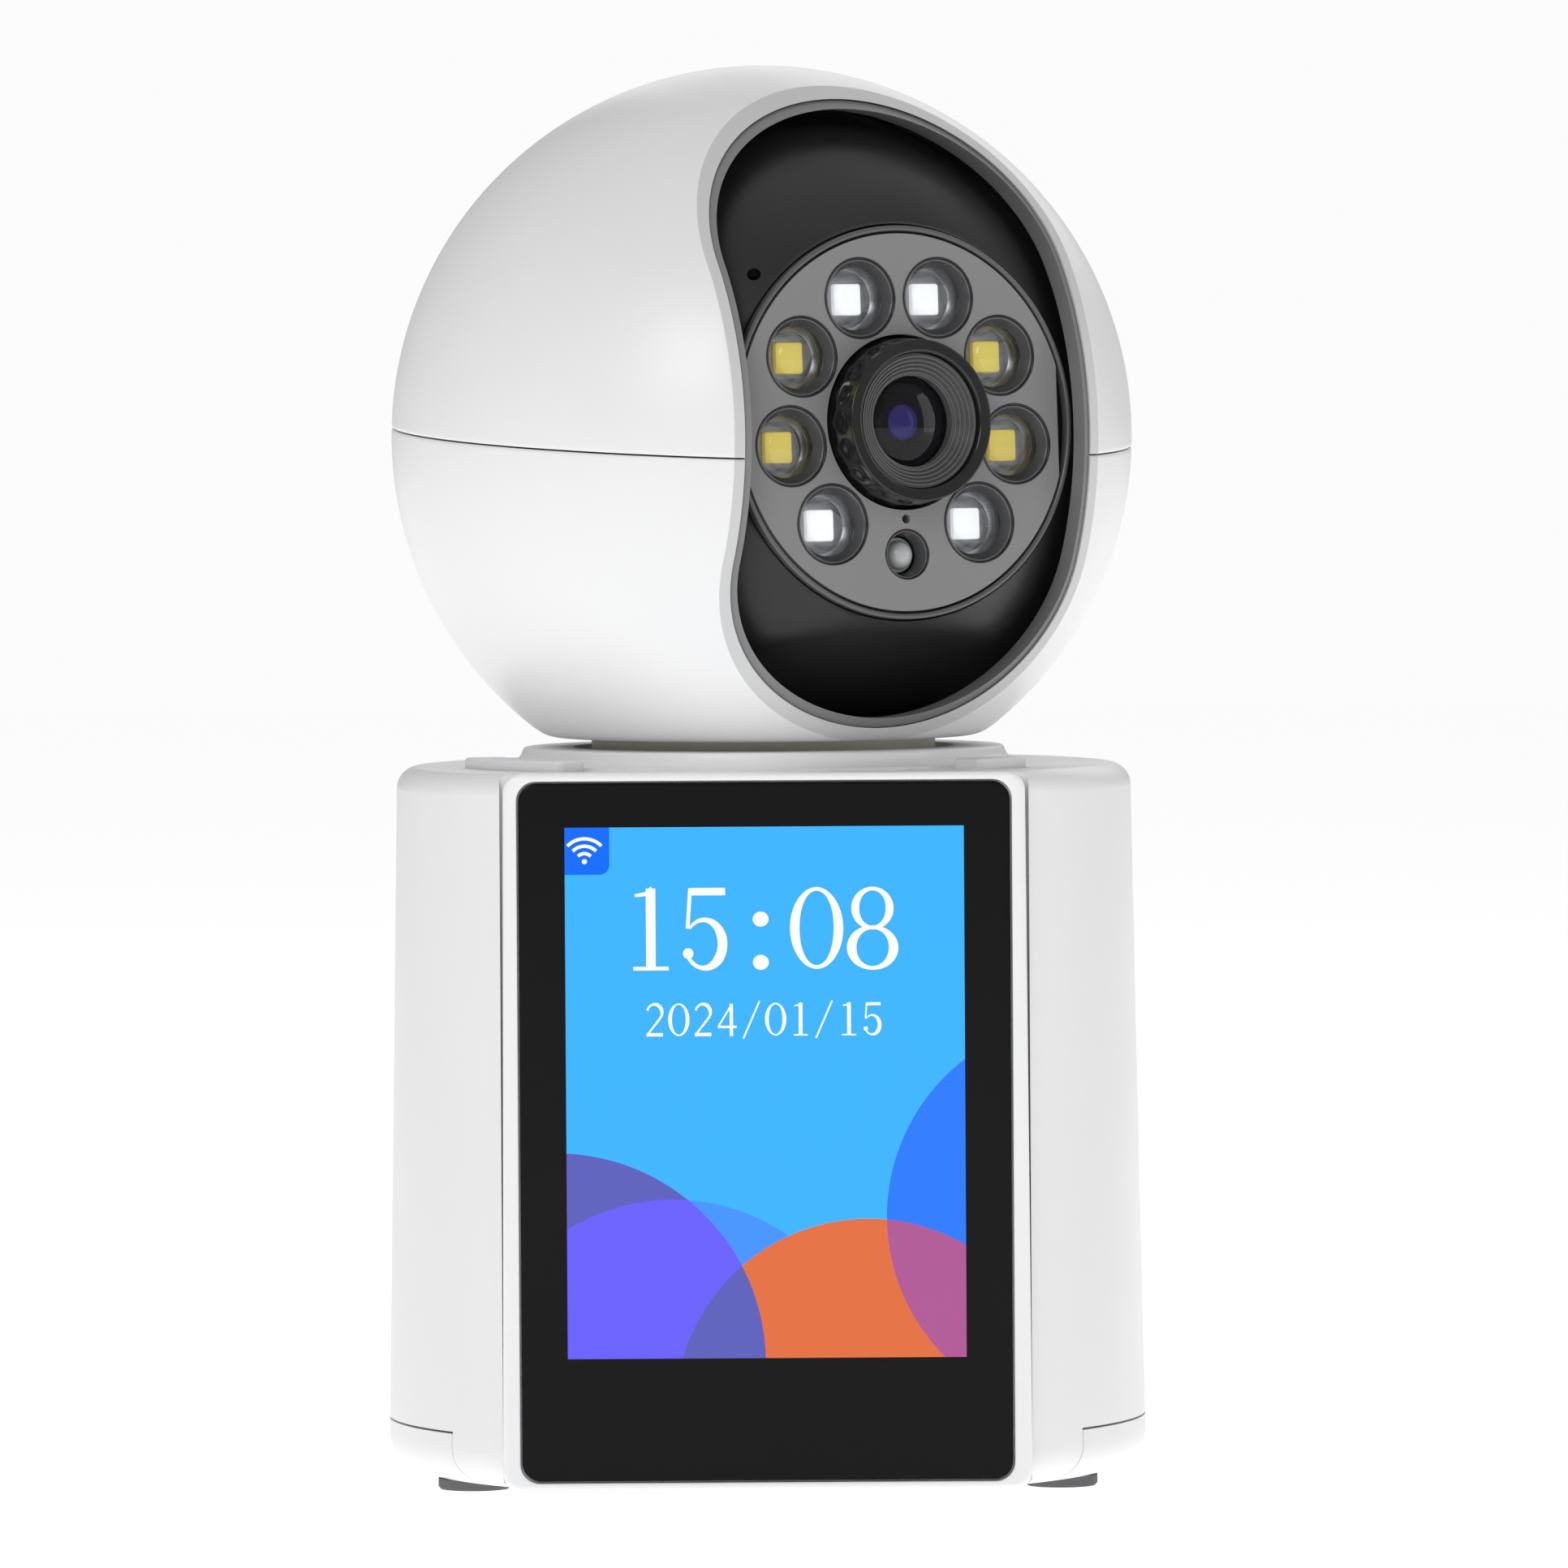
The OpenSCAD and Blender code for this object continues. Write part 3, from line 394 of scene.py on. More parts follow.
def colour(red, green, blue):
    """Linear colour of three sRGB levels from 0 to 255."""
    return (srgb(red), srgb(green), srgb(blue), 1.0)


def node(tree, kind, **inputs):
    """A shader node with some of its inputs set by name."""
    made = tree.nodes.new(kind)
    for name, value in inputs.items():
        made.inputs[name.replace("_", " ")].default_value = value
    return made


def object_noise(tree, size_mm, detail=3.0):
    """Noise on Object coordinates whose blotches are about size_mm across."""
    place = tree.nodes.new("ShaderNodeTexCoord")
    noise = node(tree, "ShaderNodeTexNoise", Scale=1 / (size_mm * MM), Detail=detail)
    tree.links.new(place.outputs["Object"], noise.inputs["Vector"])
    return noise.outputs["Fac"]


def spread(tree, value, low, high):
    """Maps the middle of the noise's range, where most of it lies, onto low to high."""
    ramp = node(tree, "ShaderNodeMapRange", From_Min=0.3, From_Max=0.7, To_Min=low, To_Max=high)
    tree.links.new(value, ramp.inputs["Value"])
    return ramp.outputs["Result"]


def tinted(tree, value, tone, change):
    """A colour that moves between tone made darker and tone made lighter as the value goes up."""
    mix = tree.nodes.new("ShaderNodeMix")
    mix.data_type = "RGBA"
    mix.inputs["A"].default_value = tuple(c * (1 - change) for c in tone[:3]) + (1,)
    mix.inputs["B"].default_value = tuple(min(1, c * (1 + change)) for c in tone[:3]) + (1,)
    tree.links.new(value, mix.inputs["Factor"])
    return mix.outputs["Result"]


def finish_of(name, tone, rough, grain_mm, relief_mm, rough_change=0.06, tone_change=0.015,
              blotch_mm=14.0, **shader_inputs):
    """A moulded or metal finish: a fine grain in relief, slow blotches in roughness and tone."""
    material = bpy.data.materials.new(name)
    material.use_nodes = True
    tree = material.node_tree
    shader = tree.nodes["Principled BSDF"]
    blotches = object_noise(tree, blotch_mm, 2.0)
    grain = object_noise(tree, grain_mm, 2.0)
    tree.links.new(tinted(tree, blotches, tone, tone_change), shader.inputs["Base Color"])
    tree.links.new(spread(tree, blotches, rough - rough_change, rough + rough_change),
                   shader.inputs["Roughness"])
    bump = node(tree, "ShaderNodeBump", Strength=0.5, Distance=relief_mm * MM)
    tree.links.new(grain, bump.inputs["Height"])
    tree.links.new(bump.outputs["Normal"], shader.inputs["Normal"])
    for key, value in shader_inputs.items():
        shader.inputs[key.replace("_", " ")].default_value = value
    material.diffuse_color = tuple(tone[:3]) + (1,)
    return material
def lit_finish(name, tone):
    """A lit colour of the picture, under a fine grain in faint relief."""
    return finish_of(name, (0.0, 0.0, 0.0, 1), 0.2, 0.18, 0.0004, 0.02, 0.0,
                     Specular_IOR_Level=0.1, Emission_Color=tone, Emission_Strength=1.0)


def thin_clear(name, ior, tint, relief=0.3):
    """Clear plastic that lets light straight through and reflects more towards its edges, with
    faint flow marks in its surface."""
    made = bpy.data.materials.new(name)
    made.use_nodes = True
    tree = made.node_tree
    tree.nodes.remove(tree.nodes["Principled BSDF"])
    clear = node(tree, "ShaderNodeBsdfTransparent", Color=tint)
    gloss = node(tree, "ShaderNodeBsdfGlossy")
    fresnel, mix = node(tree, "ShaderNodeFresnel", IOR=ior), tree.nodes.new("ShaderNodeMixShader")
    marks = object_noise(tree, 2.0, 2.0)
    bump = node(tree, "ShaderNodeBump", Strength=relief, Distance=0.00001)
    tree.links.new(marks, bump.inputs["Height"])
    tree.links.new(spread(tree, marks, 0.02, 0.06), gloss.inputs["Roughness"])
    for target in (fresnel, gloss):
        tree.links.new(bump.outputs["Normal"], target.inputs["Normal"])
    tree.links.new(fresnel.outputs["Fac"], mix.inputs["Fac"])
    tree.links.new(clear.outputs["BSDF"], mix.inputs[1])
    tree.links.new(gloss.outputs["BSDF"], mix.inputs[2])
    tree.links.new(mix.outputs["Shader"], tree.nodes["Material Output"].inputs["Surface"])
    return made


# Slot or finish: name, sRGB levels, roughness, size of grain and height of relief in millimetres,
# change in roughness where it isn't the usual one, and other inputs of the shader.
FINISHES = {
    "shell_white": ("satin_white_abs", (236, 236, 236), 0.36, 0.35, 0.003,
                    {"Coat_Weight": 0.12, "Coat_Roughness": 0.25}),
    # painted shade: the slanted edge round the window is the shell's own white plastic, and this grey stands in for
    # the shade that falls on it
    "edge_painted_shade": ("unpolished_edge", (204, 204, 204), 0.5, 0.3, 0.004, {}),
    "key_white": ("key_white_abs", (232, 232, 234), 0.4, 0.3, 0.003, {}),
    "bezel_white": ("polished_white_abs", (241, 241, 241), 0.24, 0.8, 0.001,
                    {"Coat_Weight": 0.2, "Coat_Roughness": 0.12}),
    "cover_glass": ("black_printed_glass", (14, 14, 14), 0.16, 1.0, 0.0004, 0.02,
                    {"Specular_IOR_Level": 0.12}),
    "reflector": ("white_diffuser", (232, 232, 236), 0.6, 0.4, 0.002, {}),
    "board_green": ("green_solder_mask", (22, 92, 58), 0.32, 0.6, 0.01, {"Coat_Weight": 0.4}),
    "steel": ("zinc_plate", (190, 192, 196), 0.34, 0.12, 0.003, {"Metallic": 1.0}),
    "antenna_copper": ("etched_copper", (205, 150, 96), 0.3, 0.2, 0.002, {"Metallic": 1.0}),
    "acetal": ("natural_acetal", (232, 228, 214), 0.42, 0.3, 0.003, {}),
    "rubber_dark": ("dark_rubber", (98, 98, 100), 0.78, 0.18, 0.01, {}),
    "trim_grey": ("dark_grey_trim", (126, 126, 127), 0.5, 0.2, 0.004, {}),
    "eye_black": ("grained_black", (20, 20, 21), 0.42, 0.22, 0.016, 0.04, {}),
    "plate_grey": ("matte_grey_plate", (130, 130, 131), 0.6, 0.16, 0.004, {}),
    "lens_black": ("gloss_black", (26, 26, 27), 0.17, 0.5, 0.001, {}),
    "lamp_white": ("white_phosphor", (246, 246, 247), 0.5, 0.1, 0.004,
                   {"Emission_Color": (1, 1, 1, 1), "Emission_Strength": 0.6}),
    "lamp_warm": ("warm_phosphor", (240, 218, 100), 0.5, 0.1, 0.004,
                  {"Emission_Color": colour(240, 214, 96), "Emission_Strength": 0.3}),
    "cable_black": ("cable_skin", (38, 38, 39), 0.55, 0.2, 0.003, {}),
    "lamp_cup": ("smoked_cup", (104, 104, 106), 0.2, 0.4, 0.002, {"Metallic": 0.5}),
    "lamp_bowl": ("bright_bowl", (185, 185, 187), 0.28, 0.3, 0.008, {"Metallic": 0.7}),
    "barrel_ring": ("turned_grey_ring", (92, 92, 93), 0.26, 0.12, 0.003, {"Metallic": 0.2}),
    "sensor_milk": ("milky_sensor", (214, 216, 218), 0.12, 0.3, 0.002,
                    {"Transmission_Weight": 0.35}),
    "iris_black": ("iris_black", (6, 6, 7), 0.4, 0.2, 0.002, {"Specular_IOR_Level": 0.1}),
    # painted glint: the inner element is no lamp, and its emission stands in for the blue-violet reflection off its
    # coating
    "coated_blue": ("coated_blue", (34, 26, 78), 0.05, 0.4, 0.0005, 0.01,
                    {"Metallic": 0.6, "Coat_Weight": 1.0, "Coat_Roughness": 0.02,
                     "Emission_Color": colour(112, 96, 214), "Emission_Strength": 0.3}),
}
# Lit colours of the picture: name and sRGB levels.
LIT_COLOURS = {
    "screen": ("panel_glow", (63, 182, 255)),
    "white_pixels": ("white_pixels", (255, 255, 255)),
    "badge_pixels": ("badge_pixels", (17, 110, 255)),
}
# Clear materials: name, index of refraction, tint and strength of the flow marks.
CLEAR = {
    "lamp_clear": ("clear_lamp_plastic", 1.49, (0.97, 0.98, 0.99, 1), 0.3),
    "lens_glass": ("coated_lens_glass", 1.38, (0.6, 0.6, 0.68, 1), 0.03),
}
MATERIALS = {}


def material(slot):
    """The material of a slot or finish, made on first use."""
    if slot not in MATERIALS:
        if slot in LIT_COLOURS:
            name, levels = LIT_COLOURS[slot]
            MATERIALS[slot] = lit_finish(name, colour(*levels))
        elif slot in CLEAR:
            MATERIALS[slot] = thin_clear(*CLEAR[slot])
        else:
            name, levels, *sizes, inputs = FINISHES[slot]
            MATERIALS[slot] = finish_of(name, colour(*levels), *sizes, **inputs)
    return MATERIALS[slot]

def settle(piece, body, slot, *nodes, finish=None):
    """Gives a piece its material, its body, its slot and the CAD nodes that it stands for."""
    piece.data.materials.clear()
    piece.data.materials.append(material(finish or slot))
    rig.ride(piece, body)
    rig.slot(piece, slot)
    if nodes:
        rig.replaces(piece, *nodes)
    return piece


def carried_over(name, node_name, body, slot, finish=None, sharp=32.0):
    """A copy of a CAD node with its loose triangles joined and its round faces shaded smoothly."""
    source = frame["nodes"][node_name].data
    points = np.zeros(len(source.vertices) * 3)
    source.vertices.foreach_get("co", points)
    source.calc_loop_triangles()
    triangles = np.zeros(len(source.loop_triangles) * 3, np.int64)
    source.loop_triangles.foreach_get("vertices", triangles)
    first, back = merged(points.reshape(-1, 3), WELD_M)
    triangles = back[triangles].reshape(-1, 3)
    triangles = triangles[(triangles != np.roll(triangles, 1, axis=1)).all(axis=1)]
    mesh = bpy.data.meshes.new(name)
    mesh.from_pydata(points.reshape(-1, 3)[first], [], triangles)
    mesh.validate()
    smooth_to(mesh, sharp)
    piece = placed(name, mesh)
    piece.modifiers.new("even_shading", "WEIGHTED_NORMAL").keep_sharp = True
    return settle(piece, body, slot, node_name, finish=finish)


# ---- The ball's two shells and the trim of its window ----


def window_excess(x, z, half_w, rise, drop, top_z, foot_z):
    """Below one inside the window's outline, above one outside it: an ellipse's equation in its two
    round ends, and the distance from the middle over the half-width between them."""
    up, down = np.maximum(z - top_z, 0) / rise, np.maximum(foot_z - z, 0) / drop
    return (x / half_w) ** 2 + up ** 2 + down ** 2


def ball_direction(polar, around):
    """Unit vectors at a polar angle from the seam's forward direction, turned about it from +X."""
    ahead = np.array([0, -math.cos(SEAM_SLOPE), -math.sin(SEAM_SLOPE)])
    side = np.array([1.0, 0, 0])
    polar, around = polar[..., None], around[..., None]
    across = np.cos(around) * side + np.sin(around) * SEAM_NORMAL
    return np.cos(polar) * ahead + np.sin(polar) * across


def window_polar(around, radius, inset, settings):
    """Polar angle at which a sphere of the given radius meets the window's outline, drawn in by
    the inset at its sides and ends, found by halving a range that holds it."""
    half_w, rise = settings.window_half_width / MM - inset[0], settings.window_rise / MM - inset[1]
    drop = settings.window_drop / MM - inset[1]
    size = half_w, rise, drop, settings.window_top / MM, settings.window_foot / MM
    low, high = np.full(around.shape, 0.05), np.full(around.shape, 1.45)
    for _ in range(HALVINGS):
        middle = (low + high) / 2
        place = radius * ball_direction(middle, around)
        inside = window_excess(place[..., 0], place[..., 2], *size) < 1
        low, high = np.where(inside, middle, low), np.where(inside, high, middle)
    return (low + high) / 2

def flattened(directions, radius, floor, sharpness=90.0):
    """Radius along each direction of a ball cut by a level floor: the smooth least of the two, the
    power mean of the ball's radius and the distance to the floor."""
    down = np.maximum(-directions[..., 2], 1e-6)
    to_floor = np.minimum(floor / down, 20 * radius)
    return (radius ** -sharpness + to_floor ** -sharpness) ** (-1 / sharpness)


def ball_shell(settings, upper):
    """One shell of the ball: an outer and an inner skin between the window and the back pole.

    Along the polar angle the outer skin starts at the window's wall, climbs its slanted edge and
    runs to the back; round the ball the loop goes out along the outer skin and back along the
    inner one. Columns crowd near the seam and rows near the window, so that both edges round off.
    """
    outer_r, inner_r = BALL_R, BALL_R - settings.wall / MM
    deep = outer_r - settings.edge_depth / MM
    first = 0.045
    fine = np.array([0, 0.0025, 0.0055, 0.009, 0.0135, 0.02, 0.03])
    around = np.concatenate([fine, np.linspace(first, math.pi - first, 221),
                             math.pi - fine[::-1]])
    if not upper:
        around = around + math.pi
    floor_out, floor_in = BALL_FLAT, BALL_FLAT - settings.floor / MM
    bevel = (settings.edge_side / MM, settings.edge_end / MM)
    outline = window_polar(around, outer_r, (0, 0), settings)
    rim = window_polar(around, deep, bevel, settings)
    lip = window_polar(around, inner_r, bevel, settings)
    share = np.concatenate([[0, 0.002, 0.006], np.linspace(0.012, 1, 150)])[:, None]
    wall = [lip, lip * 0.5 + rim * 0.5, rim + (lip - rim) * 0.03, rim]
    slant = rim + (outline - rim) * np.array([[0.04], [0.5], [0.93]])
    polar = np.concatenate([wall, slant, outline + (math.pi - outline) * share])
    radii = np.concatenate([
        [inner_r, (inner_r + deep) / 2, deep - 0.03, deep, deep + (outer_r - deep) * 0.04,
         (deep + outer_r) / 2, outer_r - (outer_r - deep) * 0.07 - 0.005],
        np.full(len(share), outer_r)])
    edge_rows = len(wall) + len(slant)
    radii[edge_rows] = outer_r - 0.012
    outer_d = ball_direction(polar, np.broadcast_to(around, polar.shape))
    skin_r = np.minimum(radii[:, None], flattened(outer_d, outer_r, floor_out))
    outer = outer_d * skin_r[..., None]
    inner_polar = np.concatenate([np.broadcast_to(lip, (edge_rows, len(around))),
                                  lip + (math.pi - lip) * share])
    inner_d = ball_direction(inner_polar, np.broadcast_to(around, inner_polar.shape))
    inner = inner_d * flattened(inner_d, inner_r, floor_in)[..., None]
    inner[:edge_rows] = inner[edge_rows]
    outer[0] = inner[0]
    points = np.concatenate([outer, inner[:, ::-1]], axis=1)
    return in_head(off_the_seam(points, settings, 1 if upper else -1, len(around)))


def off_the_seam(points, settings, side, outer_count):
    """Keeps points half the seam's gap from its plane, and rounds the outer skin's edge there:
    the radius drops by the square of the nearness to the seam, over a quarter millimetre."""
    half_gap = settings.seam_gap / MM / 2
    height = side * (points @ SEAM_NORMAL)
    short = np.maximum(half_gap - height, 0)
    points = points + side * short[..., None] * SEAM_NORMAL
    height = np.maximum(height, half_gap)
    near = np.clip(1 - (height - half_gap) / 0.25, 0, 1) ** 2
    near[:, outer_count:] = 0
    return points * (1 - 0.003 * near)[..., None]


def window_trim(settings):
    """The grey ring inside the window: a square section between two insets of the window's
    outline, carried once round it, with two rows close to each corner of the section."""
    around = np.linspace(0, 2 * math.pi, 360, endpoint=False)
    outer = (settings.edge_side / MM + 0.06, settings.edge_end / MM + 0.06)
    inner = (settings.trim_side / MM, settings.trim_end / MM)
    front_r, back_r = settings.trim_front / MM, settings.trim_back / MM
    section = [(outer, back_r), (outer, front_r), (inner, front_r - 0.1), (inner, back_r)]
    section = [(np.array(a) * (1 - t) + np.array(b) * t, ra * (1 - t) + rb * t)
               for (a, ra), (b, rb) in zip(section, section[1:] + section[:1])
               for t in (0.0, 0.08, 0.92)]
    rows = [ball_direction(window_polar(around, radius, inset, settings), around) * radius
            for inset, radius in section]
    return in_head(np.stack(rows))


# ---- The eye ----


def eye_reach(directions, radius, half_w, chin, chin_from):
    """Distance to the housing's skin along each direction: the smooth least of the ball, the flat
    sides and the chin, a cylinder about the tilt axis reached along its tangent."""
    far, sharpness = 500.0, 70.0
    forward, up = -directions[..., 1], directions[..., 2]
    flat = np.maximum(np.hypot(forward, up), TINY)
    elevation = np.arctan2(up, forward)
    behind = elevation > math.radians(120)
    elevation = np.where(behind, elevation - 2 * math.pi, elevation)
    past = np.clip(elevation - chin_from, 0, 1.2)
    to_chin = chin / np.cos(past) / flat
    to_side = half_w / np.maximum(np.abs(directions[..., 0]), TINY)
    parts = radius ** -sharpness + np.minimum(to_chin, far) ** -sharpness
    parts = parts + np.minimum(to_side, far) ** -sharpness
    return parts ** (-1 / sharpness)


def eye_housing(settings):
    """The black housing: a skin from the front opening back to the chord that closes its outline,
    then the ledge that the faceplate lies on, all turned about the eye's axis."""
    radius, wall = settings.radius / MM, settings.wall / MM
    half_w, chin, chin_from = settings.half_width / MM, settings.chin / MM, settings.chin_start
    top = radius * np.array([math.cos(settings.back_top), math.sin(settings.back_top)])
    foot = chin * np.array([math.cos(settings.back_foot), math.sin(settings.back_foot)])
    across = np.array([foot[1] - top[1], top[0] - foot[0]])
    around = np.linspace(0, 2 * math.pi, 288, endpoint=False)

    def skin(start, drawn_in):
        """Rows of the skin from the opening to the chord, found by halving as for the window."""
        def place(polar):
            side = np.sin(polar)
            d = np.stack([side * np.cos(around), -np.cos(polar), side * np.sin(around)], -1)
            reach = eye_reach(d, radius - drawn_in, half_w - drawn_in, chin - drawn_in, chin_from)
            return d * reach[..., None]
        low, high = np.full(around.shape, 0.8), np.full(around.shape, 3.0)
        for _ in range(HALVINGS):
            middle = (low + high) / 2
            p = place(middle)
            past = (-p[..., 1] - top[0]) * across[0] + (p[..., 2] - top[1]) * across[1]
            front_side = past * across[0] > 0
            low, high = np.where(front_side, middle, low), np.where(front_side, high, middle)
        share = np.linspace(0, 1, 110)[:, None]
        return place(start + (low - start) * share)

    opening, seat = settings.opening / MM, settings.seat / MM
    front = math.sqrt(radius ** 2 - opening ** 2)
    outer = skin(math.asin(opening / radius) + 0.006, 0.0)
    inner = skin(math.asin((opening + 0.2) / (radius - wall)), wall)
    seat_f = settings.plate_front / MM - settings.plate_depth / MM
    ledge = fillet([(seat, seat_f - 1.5), (seat, seat_f), (opening, seat_f),
                    (opening, front - 0.12), (opening + 0.12, front + 0.03)], 0.12, 3)
    rows = revolved(ledge, len(around))
    rows = np.stack([rows[..., 0], -rows[..., 2], rows[..., 1]], axis=-1)
    return in_eye(np.concatenate([inner[::-1], rows, outer]))


def at_lamps(angles, radius):
    """Places round the lens, in the faceplate's plane, at angles from the right turned upwards."""
    angles = np.radians(angles)
    return np.stack([radius * np.cos(angles), 0 * angles, radius * np.sin(angles)], axis=-1)


def eye_piece(name, profile, slot, *nodes, finish=None, places=((0, 0, 0),), count=96):
    """A piece of the eye: a profile of (radius, distance in front of the ball's centre) turned
    about the eye's axis at each place. A profile that doesn't start on the axis is a loop."""
    profile = np.asarray(profile, float)
    grid = facing(revolved(profile, count))
    loop = bool(profile[0, 0] > TINY)
    grids = [(in_eye(g), loop, True) for g in copies(grid, places)]
    return settle(piece_from(name, grids, 35), "eye", slot, *nodes, finish=finish)


def loop_section(points, radius, steps=4):
    """A closed section with rounded corners."""
    return fillet(points, radius, steps, closed=True)


def square_section(inner, outer, back, front, radius, steps=4):
    """A closed section between two radii and two distances, with rounded corners."""
    corners = [(inner, back), (outer, back), (outer, front), (inner, front)]
    return loop_section(corners, radius, steps)


def domed(points, foot, size, start=0, steps=24):
    """A profile that ends in part of an ellipse about the axis, from an angle up to the axis."""
    arc = arc_path((0, foot), size, start, 90, steps)
    arc[-1, 0] = 0
    return np.vstack([points, arc])


def scalloped_barrel(settings, profile, count=384):
    """The lens barrel: its radius dips between knuckles in two rows round its side, by a depth
    times the square of a sine round the axis and of a sine along it."""
    profile = np.asarray(profile)
    angle = np.linspace(0, 2 * math.pi, count, endpoint=False)
    start, end = settings.scallop_start / MM, settings.scallop_end / MM
    along = np.clip((profile[:, 1] - start) / (end - start), 0, 1)[:, None]
    shift = np.where(along > 0.5, math.pi / 2, 0)
    round_it = np.sin(angle[None] * settings.scallops / 2 + shift) ** 2
    dip = round_it * np.sin(2 * math.pi * along) ** 2
    outside = (profile[:, :1] > settings.scallop_from / MM).astype(float)
    radius = profile[:, :1] - outside * settings.scallop_depth / MM * dip
    return in_eye(facing(polar(radius, angle, profile[:, 1:])))


# ---- The picture on the screen ----

SCREEN_Y = box_mm("screen_glass")[0][1]
LAYER = 0.012                   # thickness of one printed layer of the picture


def layer(level):
    """Distances along Y of a layer's back and front. Layers above the first leave a hair's gap."""
    return SCREEN_Y - LAYER * (level - 1) - 0.001 * (level > 1), SCREEN_Y - LAYER * level


def band(x0, z0, x1, z1, level):
    """Four rows round a flat band between two lines of points, on one layer."""
    back, front = layer(level)
    sides = ((x0, front, z0), (x1, front, z1), (x1, back, z1), (x0, back, z0))
    return np.stack([np.stack([x, 0 * x + y, z], -1) for x, y, z in sides])


def region(low, high, left, right, level, steps=120):
    """A thin plate between two curves of height over X. Its columns crowd towards both ends."""
    share = (1 - np.cos(np.linspace(0, math.pi, steps))) / 2
    x = left + (right - left) * share
    return capped(band(x, low(x), x, np.maximum(high(x), low(x)), level))


def disc_edge(disc, side):
    """Upper (1) or lower (-1) half of a circle as a function of X."""
    centre, radius = disc
    return lambda x: centre[1] + side * np.sqrt(np.maximum(radius ** 2 - (x - centre[0]) ** 2, 0))


def level_line(z):
    """A constant height as a function of X."""
    return lambda x: z + 0 * x


def least_top(discs):
    """The lowest of the discs' upper halves as a function of X."""
    return lambda x: np.minimum.reduce([disc_edge(disc, 1)(x) for disc in discs])


def ribbon(path, widths, level, loop=False):
    """A stroke: a flat band whose two edges stand half the width off a smooth path, on both sides
    along its normal."""
    path = np.asarray(path, float)
    widths = np.interp(np.linspace(0, 1, len(path)), np.linspace(0, 1, len(widths)), widths)
    ahead = np.roll(path, -1, 0) - np.roll(path, 1, 0) if loop else np.gradient(path, axis=0)
    normal = np.stack([-ahead[:, 1], ahead[:, 0]], -1)
    normal = normal / np.maximum(np.linalg.norm(normal, axis=1), TINY)[:, None]
    left, right = path + normal * widths[:, None] / 2, path - normal * widths[:, None] / 2
    grid = band(left[:, 0], left[:, 1], right[:, 0], right[:, 1], level)
    return (grid, True, True) if loop else capped(grid)


def arc_path(centre, size, start, end, steps=40):
    """Points of an ellipse from one angle to another, in degrees."""
    angle = np.radians(np.linspace(start, end, steps))
    x, y = centre[0] + size[0] * np.cos(angle), centre[1] + size[1] * np.sin(angle)
    return np.stack([x, y], -1)


def line_path(*points, steps=8):
    """Points along straight lines between the given ones."""
    points = np.asarray(points, float)
    place = np.linspace(0, len(points) - 1, steps * (len(points) - 1) + 1)
    return np.stack([np.interp(place, np.arange(len(points)), points[:, k]) for k in (0, 1)], -1)


def digit_strokes(digit):
    """Centre lines and widths of a digit's strokes in a box one unit high and 0.56 wide."""
    thin, thick = 0.045, 0.115

    def swelling(most, count):
        """Widths round a ring that swell from thin to the most at both its sides."""
        return thin + (most - thin) * np.sin(np.linspace(0, 2 * math.pi, count)) ** 2

    def dot(z):
        return arc_path((0.28, z), (0.045, 0.045), 0, 350, 36), [0.09], True

    shapes = {
        "0": [(arc_path((0.28, 0.5), (0.235, 0.47), 90, 446, 72), swelling(thick, 73), True)],
        "1": [(line_path((0.3, 0.02), (0.3, 0.985)), [thick], False),
              (line_path((0.13, 0.9), (0.25, 0.92), (0.32, 0.985)), [0.035, 0.05, 0.06], False),
              (line_path((0.11, 0.022), (0.49, 0.022)), [thin], False)],
        "2": [(np.vstack([arc_path((0.28, 0.71), (0.2, 0.255), 165, -25, 40),
                          line_path((0.44, 0.56), (0.09, 0.06))[1:]]),
               [0.06, 0.06, 0.1, 0.11, 0.07, 0.05], False),
              (line_path((0.06, 0.05), (0.5, 0.05)), [0.1], False)],
        "4": [(line_path((0.39, 0.0), (0.39, 0.97)), [0.1], False),
              (line_path((0.4, 0.95), (0.05, 0.3)), [0.05], False),
              (line_path((0.03, 0.275), (0.53, 0.275)), [0.07], False)],
        "5": [(line_path((0.13, 0.945), (0.5, 0.945)), [0.09], False),
              (line_path((0.125, 0.985), (0.095, 0.5)), [thin], False),
              (arc_path((0.27, 0.315), (0.2, 0.29), 140, -160, 60),
               [0.03, 0.06, thick, thick, 0.05, 0.04], False),
              (arc_path((0.1, 0.2), (0.03, 0.035), 0, 350, 24), [0.06], True)],
        "8": [(arc_path((0.28, 0.735), (0.185, 0.235), 90, 446, 60),
               swelling(thick - 0.02, 61), True),
              (arc_path((0.28, 0.26), (0.225, 0.245), 90, 446, 60), swelling(thick, 61), True)],
        "/": [(line_path((0.06, -0.08), (0.5, 1.05)), [0.05], False)],
        ":": [dot(0.61), dot(0.09)],
    }
    return shapes[digit]

def written(text, left, bottom, height, pitch, level, stretch=1.0):
    """Grids of a row of digits, each a pitch further right than the last and stretched in width."""
    grids = []
    for place, digit in enumerate(text):
        corner = np.array([left + pitch * place, bottom])
        for path, widths, loop in digit_strokes(digit):
            place_on = corner + np.asarray(path) * (height * stretch, height)
            grids.append(ribbon(place_on, np.asarray(widths) * height, level, loop))
    return grids


# ---- Settings of each group of pieces ----


def length(name, text, value_mm):
    """A length property in metres, from a value in millimetres."""
    return FloatProperty(name=name, description=text, default=value_mm * MM, unit="LENGTH",
                         precision=5)


def angle(name, text, value_deg):
    """An angle property in radians, from a value in degrees."""
    return FloatProperty(name=name, description=text, default=math.radians(value_deg),
                         unit="ROTATION")


